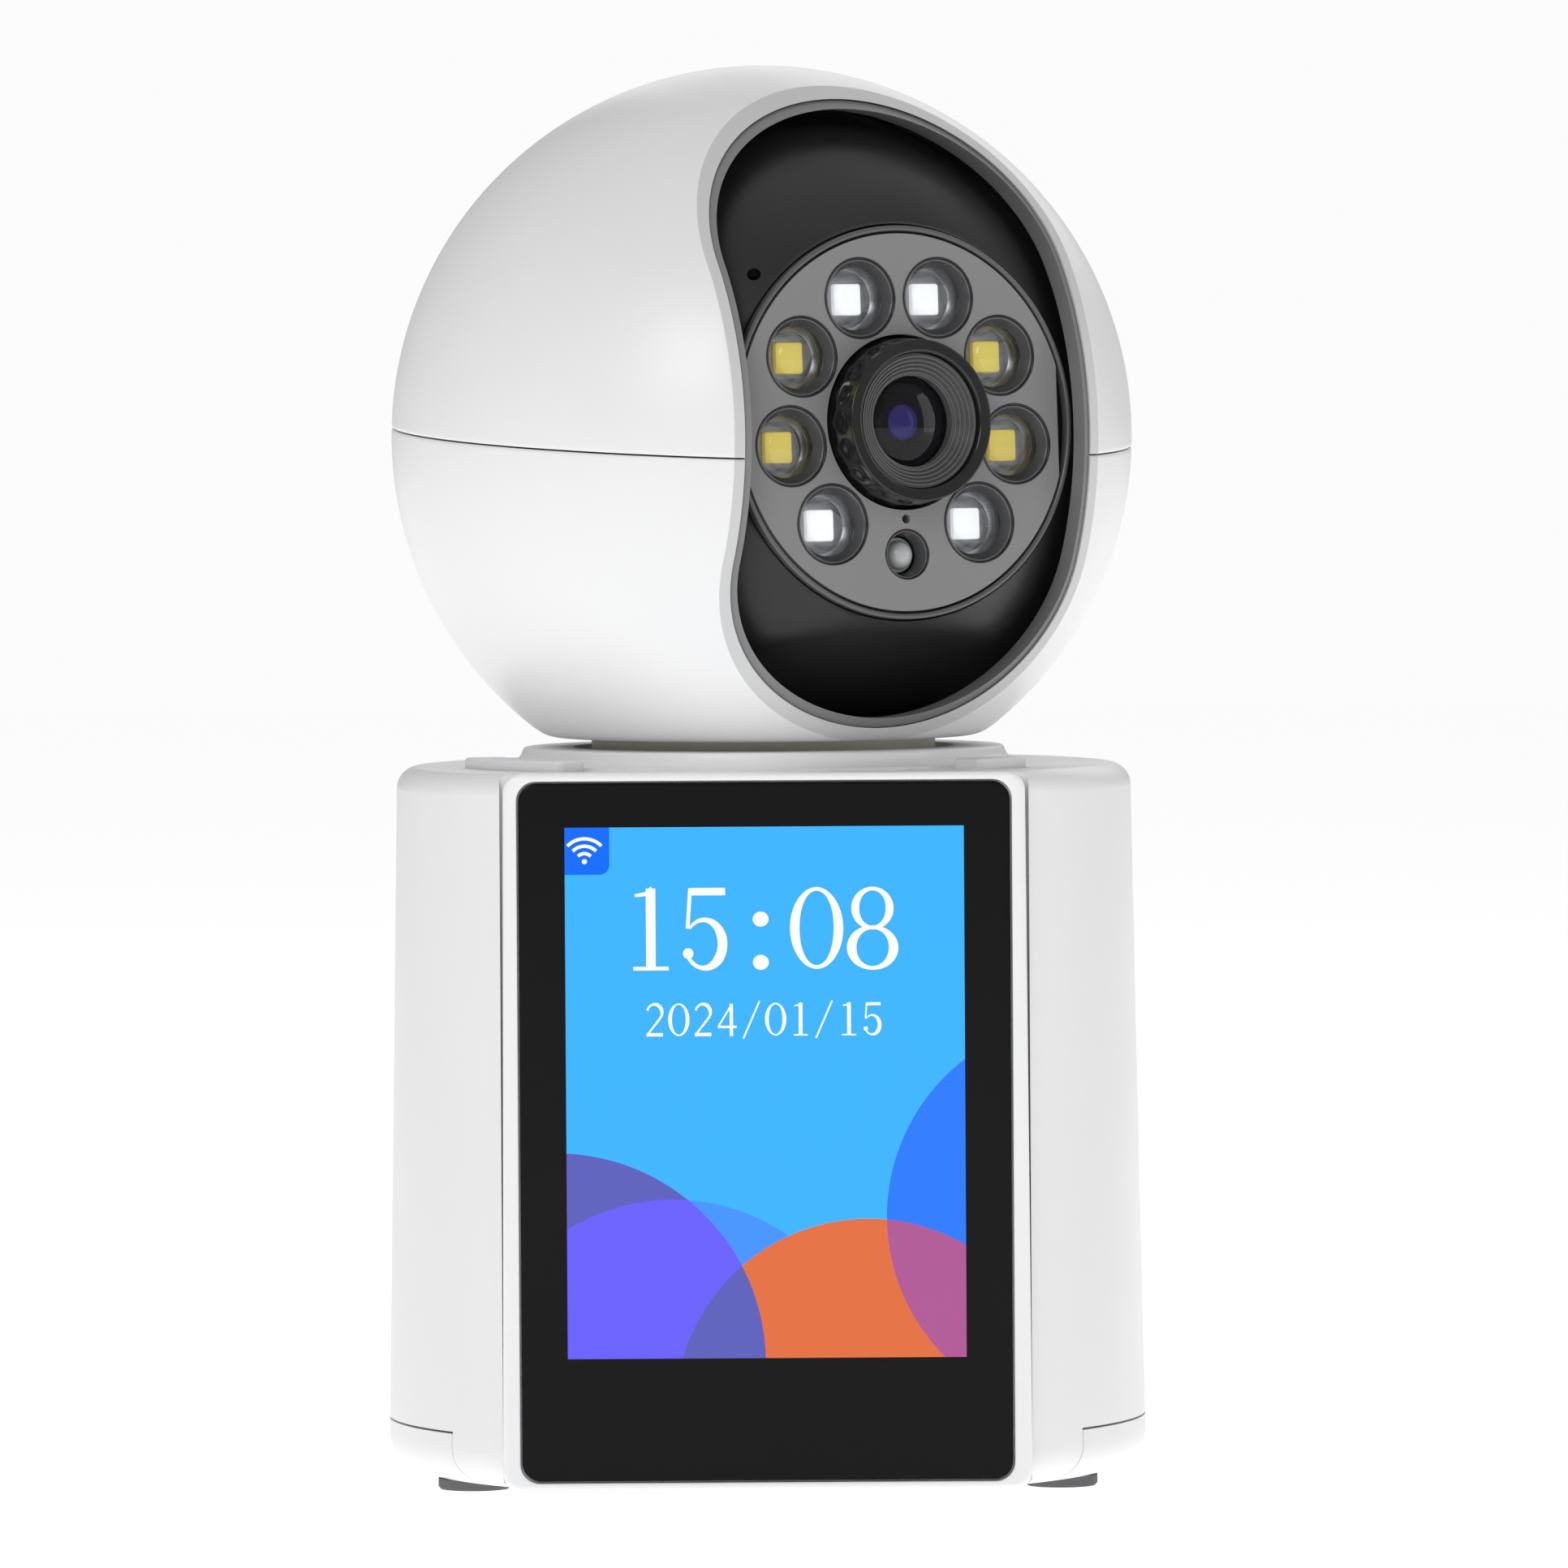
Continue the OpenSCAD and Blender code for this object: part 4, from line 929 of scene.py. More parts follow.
class BallSettings(bpy.types.PropertyGroup):
    """Sizes of the ball's shells and of the window in them."""

    wall: length("Wall", "Thickness of the shells", 2.2)
    floor: length("Floor", "Thickness of the level bottom", 1.6)
    seam_gap: length("Seam gap", "Gap between the two shells", 0.2)
    window_half_width: length("Window half width", "Half of the window's width", 22.9)
    window_top: length("Window top centre", "Height of the centre of its upper end", 18.9)
    window_foot: length("Window foot centre", "Height of the centre of its lower end", -13.3)
    window_rise: length("Window rise", "Height of its upper round end", 19.5)
    window_drop: length("Window drop", "Height of its lower round end", 19.9)
    edge_side: length("Edge at sides", "Width of the slanted edge at the sides", 1.15)
    edge_end: length("Edge at ends", "Width of the slanted edge at the ends", 1.5)
    edge_depth: length("Edge depth", "Depth of the slanted edge", 0.42)
    trim_side: length("Trim at sides", "From the outline to the trim's inner edge, sides", 1.95)
    trim_end: length("Trim at ends", "From the outline to the trim's inner edge, ends", 2.6)
    trim_front: length("Trim front", "Radius of the trim's front", 40.2)
    trim_back: length("Trim back", "Radius of the trim's back", 38.15)
    plug_radius: length("Plug radius", "Radius of the plugs over the rear screws", 2.15)
    plug_side: length("Plug side", "Distance of each plug from the middle", 21.0)
    plug_back: length("Plug back", "Distance of the plugs behind the ball's centre", 27.5)


class EyeSettings(bpy.types.PropertyGroup):
    """Sizes of the eye's housing, faceplate, lamps and lens."""

    radius: length("Radius", "Radius of the housing", 37.0)
    wall: length("Wall", "Thickness of the housing", 1.8)
    half_width: length("Half width", "Distance from the middle to each flat side", 25.8)
    chin: length("Chin", "Radius of the lower part about the tilt axis", 30.9)
    chin_start: angle("Chin start", "Elevation at which the chin starts", -70)
    back_top: angle("Back top", "Elevation at which the skin ends above", 92)
    back_foot: angle("Back foot", "Elevation at which the skin ends below", -118)
    opening: length("Opening", "Radius of the front opening", 21.5)
    seat: length("Seat", "Radius of the hole behind the faceplate", 18.9)
    plate_front: length("Plate front", "Distance of its front from the ball's centre", 30.75)
    plate_depth: length("Plate depth", "Thickness of the faceplate", 1.4)
    lamp_circle: length("Lamp circle", "Radius of the circle of lamps", 14.35)
    lamp_hole: length("Lamp hole", "Radius of each lamp's hole", 4.3)
    dome: length("Dome", "Radius of each lamp's dome", 2.75)
    chip: length("Chip", "Half of a lamp chip's side", 1.7)
    chip_front: length("Chip front", "Distance of the chips' faces from the ball's centre", 28.0)
    barrel: length("Barrel", "Radius of the lens barrel at its root", 9.42)
    barrel_tip: length("Barrel tip", "Radius of the lens barrel's tip", 8.8)
    barrel_reach: length("Barrel reach", "Distance of its tip from the ball's centre", 34.75)
    scallops: IntProperty(name="Scallops", description="Number of dips round the barrel",
                          default=18, min=3)
    scallop_depth: length("Scallop depth", "Depth of each dip", 0.42)
    scallop_start: length("Scallop start", "Distance at which the dips start", 29.4)
    scallop_end: length("Scallop end", "Distance at which the dips end", 34.1)
    scallop_from: length("Scallop from", "Smallest radius that the dips touch", 8.0)
    lens: length("Lens", "Radius of the front lens", 4.85)


class BaseSettings(bpy.types.PropertyGroup):
    """Sizes of the base's collar, keys, feet and bezel."""

    key_inner: length("Key inner radius", "Inner radius of the keys on top", 30.0)
    key_outer: length("Key outer radius", "Outer radius of the keys on top", 34.5)
    key_edge: length("Key edge", "Rounding of the keys' edges", 0.4)
    bezel_edge: length("Bezel edge", "Rounding of the bezel's front edge", 0.55)
    glass_edge: length("Glass edge", "Rounding of the glass's front edge", 0.22)
    picture_half_width: length("Picture half width", "Half of the lit picture's width", 21.6)
    picture_foot: length("Picture foot", "Height of the lit picture's lower edge", 15.6)
    picture_top: length("Picture top", "Height of the lit picture's upper edge", 73.2)
    clock: StringProperty(name="Clock", description="Digits of the clock", default="15:08")
    date: StringProperty(name="Date", description="Digits of the date", default="2024/01/15")


class LookSettings(bpy.types.PropertyGroup):
    """Camera and light."""

    lens: FloatProperty(name="Lens", description="Focal length in millimetres", default=290.6)
    camera: FloatVectorProperty(name="Camera", description="Place of the camera",
                                subtype="TRANSLATION", default=(0.0, -1.4, 0.125))
    target: FloatVectorProperty(name="Target", description="Point that the camera looks at",
                                subtype="TRANSLATION", default=(0.00224, 0.0, 0.0767))
    roll: angle("Roll", "Turn of the camera about its own axis", -0.35)
    ambient: FloatProperty(name="Ambient", description="Light from all round", default=0.38)
    backdrop: FloatProperty(name="Backdrop", description="Brightness of the backdrop",
                            default=0.97)


# ---- Operators ----

WHITE_LAMPS, WARM_LAMPS = [-50, 70, 110, 230], [-10, 30, 150, 190]
LAMPS, SENSOR = [-50, -10, 30, 70, 110, 150, 190, 230], [-90]


class BuildStep(bpy.types.Operator):
    """A step of the build that works on the frame loaded at the top."""

    bl_options = {"REGISTER", "UNDO"}

    def execute(self, context):
        try:
            self.build(context.scene)
        except (KeyError, ValueError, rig.FrameError) as problem:
            self.report({"ERROR"}, str(problem))
            return {"CANCELLED"}
        return {"FINISHED"}


class DISPLAY_OT_ball(BuildStep):
    """Builds the ball's shells, the plugs over its rear screws and the window's trim."""

    bl_idname = "display.ball"
    bl_label = "Ball"

    def build(self, scene):
        s = scene.ball_settings
        for name, upper in (("ball_upper_skin", True), ("ball_lower_skin", False)):
            piece = piece_from(name, [(ball_shell(s, upper), False, True)], 38)
            settle(piece, "head", "shell_white", "upper_shell" if upper else "lower_shell")
            # paints shade on the slanted edge round the window
            self.paint_shade_on_edge(piece, s)
        plugs = [(self.plug(s, side), False, True) for side in (-1, 1)]
        settle(piece_from("rear_plugs", plugs, 40), "head", "shell_white", "screw_plugs")
        trim = piece_from("window_trim_ring", [(window_trim(s), True, True)], 38)
        settle(trim, "head", "trim_grey", "window_trim")

    def plug(self, s, side):
        """A plug over a rear screw: a disc that follows the ball from below, with a soft edge."""
        across = s.plug_radius / MM
        profile = [(0, 0.04), (across - 0.25, 0.04), (across - 0.1, 0.02), (across, -0.06),
                   (across, -0.6), (0, -0.6)]
        grid = revolved(np.array(profile), 64)
        x, y = grid[..., 0] + side * s.plug_side / MM, grid[..., 1] + s.plug_back / MM
        radius = BALL_R + grid[..., 2]
        return in_head(np.stack([x, y, -np.sqrt(radius ** 2 - x ** 2 - y ** 2)], axis=-1))

    def paint_shade_on_edge(self, piece, s):
        """Paints shade onto the slanted edge round the window, which is the shell's own white plastic: a grey material
        on the faces inside the window's outline that lie less than the edge's depth under the ball's surface."""
        count = len(piece.data.polygons)
        centres = np.zeros(count * 3)
        piece.data.polygons.foreach_get("center", centres)
        about = (centres.reshape(-1, 3) / MM - BALL_CENTRE) @ turn_z(PAN_REST)
        size = (s.window_half_width, s.window_rise, s.window_drop, s.window_top, s.window_foot)
        inside = window_excess(about[:, 0], about[:, 2], *(v / MM for v in size)) < 1
        shallow = np.linalg.norm(about, axis=1) > BALL_R - s.edge_depth / MM - 0.05
        edge = inside & shallow & (about[:, 1] < 0)
        # the grey second material is painted shade on the slanted edge
        piece.data.materials.append(material("edge_painted_shade"))
        piece.data.polygons.foreach_set("material_index", edge.astype(np.int32))


class DISPLAY_OT_eye(BuildStep):
    """Builds the eye's housing, its faceplate, rim and the rings round its holes."""

    bl_idname = "display.eye"
    bl_label = "Eye"

    def build(self, scene):
        s = scene.eye_settings
        front, hole, circle = s.plate_front / MM, s.lamp_hole / MM, s.lamp_circle / MM
        housing = piece_from("eye_housing_skin", [(eye_housing(s), True, True)], 40)
        settle(housing, "eye", "eye_black", "eye_housing")
        self.microphone_hole(housing)
        carried_over("faceplate_face", "faceplate", "eye", "plate_grey")
        rim = square_section(20.78, 21.38, front - 1.2, front + 0.14, 0.28, 5)
        eye_piece("eye_rim", rim, "eye_black", "faceplate_rim", finish="barrel_ring", count=256)
        for name, angles, inner, outer, proud, rounding in (
                ("lamp_hole_lips", LAMPS, hole - 0.05, hole + 0.16, 0.07, 0.09),
                ("sensor_hole_lip", SENSOR, 2.6, 2.78, 0.06, 0.08)):
            lip = square_section(inner, outer, front - 0.12, front + proud, rounding)
            eye_piece(name, lip, "eye_black", finish="lens_black", places=at_lamps(angles, circle))

    def microphone_hole(self, housing):
        """Drills the small hole in front of the microphone, along a line from the ball's centre."""
        low, high = box_mm("microphone")
        ahead = (low + high) / 2 - BALL_CENTRE
        ahead = ahead / np.linalg.norm(ahead)
        side = np.cross(ahead, [0, 0, 1])
        side = side / np.linalg.norm(side)
        radius, start, end = 0.75, 34.6, 38
        profile = [(0, start), (radius, start), (radius, end), (0, end)]
        drill = revolved(np.array(profile, float), 32)
        axes = np.stack([side, np.cross(ahead, side), ahead])
        cut_out(housing, piece_from("drill", [(drill @ axes + BALL_CENTRE, False, True)]))


class DISPLAY_OT_lamps(BuildStep):
    """Builds each lamp's smoked cup, clear dome, bowl and chip, and the light sensor."""

    bl_idname = "display.lamps"
    bl_label = "Lamps"

    def build(self, scene):
        s = scene.eye_settings
        hole, dome, half = s.lamp_hole / MM, s.dome / MM, s.chip / MM
        mouth, chip_f = s.plate_front / MM - 0.1, s.chip_front / MM
        board, flange_back, flange_front, cup_back, dome_foot = 27.2, 28.45, 29.3, 29.38, 29.42
        bowl_back, bowl_floor, bowl_rim = 27.22, 27.42, 28.38
        places = at_lamps(LAMPS, s.lamp_circle / MM)
        cup = loop_section([(hole - 0.06, cup_back), (hole - 0.06, mouth), (hole - 0.26, mouth),
                            (hole - 0.95, cup_back)], 0.08, 3)
        eye_piece("lamp_cups", cup, "eye_black", finish="lamp_cup", places=places)
        lens = domed([(0, flange_back), (hole + 0.3, flange_back), (hole + 0.3, flange_front),
                      (dome + 0.25, flange_front), (dome + 0.02, dome_foot)],
                     dome_foot, (dome, 1.32), 4)
        eye_piece("lamp_domes", lens, "lamp_clear", "lamp_lenses", places=places)
        bowl = loop_section([(0.9, bowl_back), (4.2, bowl_back), (4.2, bowl_rim), (4.0, bowl_rim),
                             (3.1, 27.5), (0.9, bowl_floor)], 0.08, 3)
        eye_piece("lamp_bowls", bowl, "eye_black", finish="lamp_bowl", places=places)
        chip = slab(half, half, 0.35, board, chip_f, 0.12)
        bed = slab(half + 0.45, half + 0.45, 0.3, board, 27.45, 0.06)
        for name, plate, angles, slot, nodes, finish in (
                ("lamp_chips_white", chip, WHITE_LAMPS, "lamp_white", ["white_lamps"], None),
                ("lamp_chips_warm", chip, WARM_LAMPS, "lamp_warm", ["warm_lamps"], None),
                ("lamp_chip_beds", bed, LAMPS, "lamp_white", [], "reflector")):
            spots = at_lamps(angles, s.lamp_circle / MM)
            grids = [(in_eye(g), False, True) for g in copies(facing(plate), spots)]
            settle(piece_from(name, grids, 40), "eye", slot, *nodes, finish=finish)
        self.sensor(at_lamps(SENSOR, s.lamp_circle / MM), board, mouth)

    def sensor(self, place, board, mouth):
        """The light sensor's milky dome, and the smoked cup round it."""
        side, dome_foot, cup_back = 1.9, 28.62, 28.6
        sensor = domed([(0, board), (side, board), (side, 28.55), (1.85, dome_foot),
                        (1.62, dome_foot)], dome_foot, (1.6, 1.7))
        eye_piece("sensor_dome", sensor, "lamp_clear", "light_sensor", finish="sensor_milk",
                  places=place)
        cup = loop_section([(2.58, cup_back), (2.58, mouth), (2.44, mouth), (2.1, cup_back)],
                           0.06, 3)
        eye_piece("sensor_cup", cup, "eye_black", finish="lamp_cup", places=place)


class DISPLAY_OT_lens(BuildStep):
    """Builds the lens barrel, its stepped rings, the front lens and the elements behind it."""

    bl_idname = "display.lens"
    bl_label = "Lens"

    def build(self, scene):
        s = scene.eye_settings
        root, tip, reach, lens = (v / MM for v in (s.barrel, s.barrel_tip, s.barrel_reach, s.lens))
        foot, lip, bore, shoulder = 28.6, 7.4, 6.2, reach - 0.45
        side = np.linspace(0, 1, 41)[:, None]
        wall = np.hstack([root + (tip - root) * side, foot + (shoulder - foot) * side])
        edge = fillet([(tip, shoulder), (tip, reach), (lip, reach), (lip, reach - 0.7)], 0.3, 5)
        outline = np.vstack([wall[:-1], edge, [(lip, reach - 1.6), (bore, reach - 1.6),
                                               (bore, foot)]])
        barrel = piece_from("barrel_skin", [(scalloped_barrel(s, outline), True, True)], 40)
        settle(barrel, "eye", "lens_black", "lens_barrel")
        steps = []
        for step in range(5):
            r, f = 7.1 - 0.42 * step, reach - 0.55 - 0.28 * step
            steps += [(r, f - 0.16), (r, f), (r - 0.22, f), (r - 0.3, f - 0.3)]
        steps += [(4.95, reach - 1.9), (4.95, reach - 3.15), (7.3, reach - 3.15),
                  (7.3, reach - 0.7)]
        eye_piece("barrel_steps", loop_section(steps, 0.05, 3), "lens_black", "lens_ring",
                  finish="barrel_ring", count=192)
        curve, apex, back = 10.4, reach - 1.8, reach - 3.0
        half_angle = math.degrees(math.asin(lens / curve))
        glass = domed([(0, back), (lens, back)], apex - curve, (curve, curve), 90 - half_angle, 32)
        eye_piece("front_element", glass, "lens_glass", "front_lens", count=160)
        pupil = 1.95
        iris = loop_section([(pupil, reach - 3.9), (2.3, reach - 3.5), (4.9, reach - 3.2),
                             (4.9, reach - 4.4), (pupil, reach - 4.4)], 0.05, 3)
        eye_piece("iris_cone", iris, "lens_black", finish="iris_black", count=128)
        radius, back, foot = 1.94, reach - 5.0, reach - 4.3
        inner = domed([(0, back), (radius, back), (radius, foot)], foot, (radius, 0.7))
        # the inner element glows with a painted glint of its coating
        eye_piece("inner_element", inner, "lens_glass", finish="coated_blue")


class DISPLAY_OT_base(BuildStep):
    """Builds the base's shell, bottom cover, collar, keys, bezel and cover glass."""

    bl_idname = "display.base"
    bl_label = "Base"

    def build(self, scene):
        s = scene.base_settings
        carried_over("base_skin", "base_shell", "base", "shell_white")
        carried_over("cover_skin", "bottom_cover", "base", "shell_white")
        self.collar()
        for name, cad, ends in (("call_key_cap", "call_key", (197, 230)),
                                ("power_key_cap", "power_key", (313, 327))):
            key = piece_from(name, self.key(s, cad, *ends), 40)
            settle(key, cad, "shell_white", cad, finish="key_white")
        self.bezel(s)
        self.glass(s)

    def collar(self):
        """The collar under the ball: a foot, a hollow curve up its side and a rounded top."""
        low, high = box_mm("neck_collar")
        bore, side = 21.05, 28.45
        profile = np.vstack([[(bore, low[2]), (side, low[2]), (side, low[2] + 0.3)],
                             arc_path((28.15, low[2] + 1.9), (1.5, 1.5), 270, 200, 16),
                             arc_path((26.2, high[2] - 0.45), (0.45, 0.45), 10, 90, 8),
                             [(bore, high[2])]])
        piece = piece_from("collar_ring", [(revolved(profile, 256), True, True)], 40)
        settle(piece, "base", "shell_white", "neck_collar")

    def key(self, s, cad, start, end):
        """A key between two angles: an arc-shaped block with rounded edges over a wider flange.
        A straight plate is bent round the vertical axis, its length kept along its middle."""
        low, high = box_mm(cad)
        inner, outer, edge = s.key_inner / MM, s.key_outer / MM, s.key_edge / MM
        flange_top, wider, longer = low[2] + 0.8, 0.6, 1.5
        grids = []
        for r0, r1, z0, z1, a0, a1, e in (
                (inner, outer, flange_top, high[2], start, end, edge),
                (inner - wider, outer + wider, low[2], flange_top, start - longer, end + longer,
                 0.15)):
            middle_r, middle_a = (r0 + r1) / 2, math.radians((a0 + a1) / 2)
            half_long = math.radians(a1 - a0) / 2 * middle_r
            plate = divided(slab(half_long, (r1 - r0) / 2, 0.8, z0, z1, e, 10), 12)
            turn = middle_a + plate[..., 0] / middle_r
            grids.append((polar(middle_r + plate[..., 1], turn, plate[..., 2]), False, True))
        return grids

    def bezel(self, s):
        """The bezel: rounded outlines from its back, round its front edge, into the glass's
        recess and through the display's opening."""
        low, high = box_mm("screen_bezel")
        glass_low, glass_high = box_mm("screen_glass")
        lcd_low, lcd_high = box_mm("lcd_panel")
        front, back, edge = -low[1], 27.5, s.bezel_edge / MM
        middle_z, half_h = (low[2] + high[2]) / 2, (high[2] - low[2]) / 2
        foot_half_w, top_half_w, corner = 28.7, 28.25, 2.0
        clearance, lip, recess = 0.2, 0.18, 1.15

        def outline(half_w0, half_w1, half_height, centre_z, corner):
            """An outline of half width half_w0 at its foot and half_w1 at its top."""
            flat = rounded_rows(half_w0, half_height, corner, 8)[0]
            share = (flat[:, 1] + half_height) / (2 * half_height)
            taper = np.sign(flat[:, 0]) * (half_w1 - half_w0) * share
            return np.stack([flat[:, 0] + taper, flat[:, 1] + centre_z], axis=-1)

        def drawn_in(e):
            return outline(foot_half_w - e, top_half_w - e, half_h - e, middle_z,
                           max(corner - e, 0.3))

        def ring(e):
            half_w = (glass_high[0] - glass_low[0]) / 2 + clearance - e
            height = (glass_high[2] - glass_low[2]) / 2 + clearance - e
            centre = (glass_high[2] + glass_low[2]) / 2
            return outline(half_w, half_w, height, centre, max(2.1 - e, 0.3))

        window_w, window_h = 25.2, (lcd_high[2] - lcd_low[2]) / 2 + clearance
        window = outline(window_w, window_w, window_h, (lcd_low[2] + lcd_high[2]) / 2, 0.3)
        turn = np.linspace(0, math.pi / 2, 7)
        rows = [(drawn_in(0), back), (drawn_in(0), front - edge - 0.05)]
        rows += [(drawn_in(edge * (1 - math.cos(t))), front - edge * (1 - math.sin(t)))
                 for t in turn]
        rows += [(drawn_in(edge + 0.04), front)]
        rows += [(ring(-lip * (1 - math.sin(t)) - 0.001), front - lip * (1 - math.cos(t)))
                 for t in turn]
        rows += [(ring(0), front - 0.25), (ring(0), front - recess), (window, front - recess),
                 (window, back)]
        frame_piece = piece_from("bezel_frame", [(level_rows(rows), True, True)], 38)
        settle(frame_piece, "base", "bezel_white", "screen_bezel")

    def glass(self, s):
        """The cover glass, with a softened edge."""
        low, high = box_mm("screen_glass")
        half_w, half_h = (high - low)[0] / 2, (high - low)[2] / 2
        plate = facing(slab(half_w, half_h, 2.0, -high[1], -low[1], s.glass_edge / MM, 8))
        plate = plate + np.array([0, 0, (low[2] + high[2]) / 2])
        piece = piece_from("glass_plate", [(plate, False, True)], 38)
        settle(piece, "base", "cover_glass", "screen_glass")


class DISPLAY_OT_picture(BuildStep):
    """Builds the lit picture: its ground, overlapping discs, corner badge, clock and date."""

    bl_idname = "display.picture"
    bl_label = "Picture"

    def build(self, scene):
        s = scene.base_settings
        half_w, foot, top = (v / MM for v in (s.picture_half_width, s.picture_foot, s.picture_top))
        slate, blue_left = ((-22.9, 15.2), 22.75), ((-10.2, 11.1), 21.75)
        orange, blue_right = ((10.95, 9.7), 20.95), ((34.55, 30.75), 21.5)
        ground = region(level_line(foot), level_line(top), -half_w, half_w, 1, 8)
        self.lit("picture_ground", ground, (63, 182, 255))
        for name, discs, level, levels in (
                ("disc_pale_blue", (blue_left,), 2, (72, 150, 255)),
                ("disc_slate", (slate,), 3, (96, 99, 190)),
                ("disc_violet", (slate, blue_left), 4, (108, 98, 255)),
                ("disc_orange", (orange,), 5, (229, 115, 69)),
                ("disc_overlap", (slate, orange), 6, (96, 99, 190)),
                ("disc_blue", (blue_right,), 6, (47, 125, 255)),
                ("disc_magenta", (blue_right, orange), 7, (178, 92, 153))):
            shared = self.from_right if discs[0] is blue_right else self.from_below
            self.lit(name, shared(discs, foot, half_w, level), levels)
        self.badge(half_w, top)
        widen = 1.12
        for name, grids in (
                ("clock_digits", written(s.clock, -15.35, 57.7, 9.0, 6.05, 2, widen)),
                ("date_digits", written(s.date, -13.1, 50.55, 3.6, 2.62, 2, widen))):
            settle(piece_from(name, grids, 30), "base", "screen", finish="white_pixels")

    def lit(self, name, grid, levels):
        """One flat piece of the picture in its own lit colour."""
        LIT_COLOURS[name] = (name, levels)
        settle(piece_from(name, [grid], 30), "base", "screen", finish=name)

    def from_below(self, discs, foot, half_w, level):
        """What discs with centres below the picture's lower edge share above that edge."""
        left, right = -half_w, half_w
        for centre, radius in discs:
            reach = math.sqrt(radius ** 2 - (foot - centre[1]) ** 2)
            left, right = max(left, centre[0] - reach), min(right, centre[0] + reach)
        return region(level_line(foot), least_top(discs), left, right, level)

    def from_right(self, discs, foot, half_w, level):
        """What the first disc, which reaches in from the right, shares with the others."""
        centre, radius = discs[0]
        lower = disc_edge(discs[0], -1)
        return region(lambda x: np.maximum(foot, lower(x)), least_top(discs),
                      centre[0] - radius, half_w, level)

    def badge(self, half_w, top):
        """The corner square with one rounded corner, and three arcs over a dot on it."""
        side, height, corner = 4.85, 5.1, 1.1
        left = -half_w

        def foot(x):
            past = np.maximum(x - (left + side - corner), 0)
            return top - height + corner - np.sqrt(np.maximum(corner ** 2 - past ** 2, 0))

        grid = region(foot, level_line(top), left, left + side, 2, 60)
        settle(piece_from("badge_square", [grid], 30), "base", "screen", finish="badge_pixels")
        middle = np.array([left + 2.15, top - 3.75])
        arcs = [ribbon(arc_path(middle, (r, r), 136, 44, 32), [0.36], 3)
                for r in (0.95, 1.75, 2.55)]
        dot = arc_path(middle + (0, 0.08), (0.14, 0.14), 0, 350, 24)
        arcs.append(ribbon(dot, [0.28], 3, loop=True))
        settle(piece_from("badge_arcs", arcs, 30), "base", "screen", finish="white_pixels")


class DISPLAY_OT_inner(BuildStep):
    """Gives every CAD node its material."""

    bl_idname = "display.inner"
    bl_label = "Inner parts"

    def build(self, scene):
        for slot, nodes in SLOT_NODES.items():
            for name in nodes:
                mesh = frame["nodes"][name].data
                mesh.materials.clear()
                mesh.materials.append(material(slot))


SLOT_NODES = {
    "rubber_dark": ["rubber_feet"],
    "steel": ["cover_screws", "shield_can", "board_screws", "speaker_basket", "usb_inlet",
              "motor_bracket", "bracket_screws", "pan_motor", "pan_motor_shaft", "shell_screws",
              "hub_screws", "gear_clip", "chassis_screws", "microphone", "tilt_motor"],
    "shell_white": ["base_shell", "bottom_cover", "neck_collar", "call_key", "power_key",
                    "upper_shell", "lower_shell", "screw_plugs"],
    "bezel_white": ["screen_bezel"],
    "cover_glass": ["screen_glass"],
    "screen": ["lcd_panel"],
    "reflector": ["backlight"],
    "board_green": ["main_board", "inlet_board", "key_board", "head_board", "lamp_board",
                    "sensor_board"],
    "antenna_copper": ["wifi_antenna"],
    "cable_black": ["speaker_cone", "key_switches", "wire_bundle"],
    "acetal": ["pan_bush", "pan_pinion", "pan_hub", "pan_gear", "tilt_gear", "tilt_pinion"],
    "trim_grey": ["reset_button", "window_trim"],
    "eye_black": ["left_arm", "right_arm", "eye_housing", "faceplate_rim", "trunnions"],
    "plate_grey": ["faceplate"],
    "lens_black": ["lens_barrel", "lens_ring", "lens_holder"],
    "lens_glass": ["front_lens"],
    "lamp_clear": ["lamp_lenses", "light_sensor"],
    "lamp_white": ["white_lamps"],
    "lamp_warm": ["warm_lamps"],
}


def area_light(name, place, target, size, power):
    """A rectangular light that faces a target."""
    data = bpy.data.lights.new(name, "AREA")
    data.shape, data.size, data.size_y, data.energy = "RECTANGLE", size[0], size[1], power
    light = placed(name, data)
    light.location = place
    light.rotation_euler = facing_turn(place, target).to_euler()


def facing_turn(place, target):
    """The turn that points something's -Z from a place at a target."""
    return (Vector(target) - Vector(place)).to_track_quat("-Z", "Y")


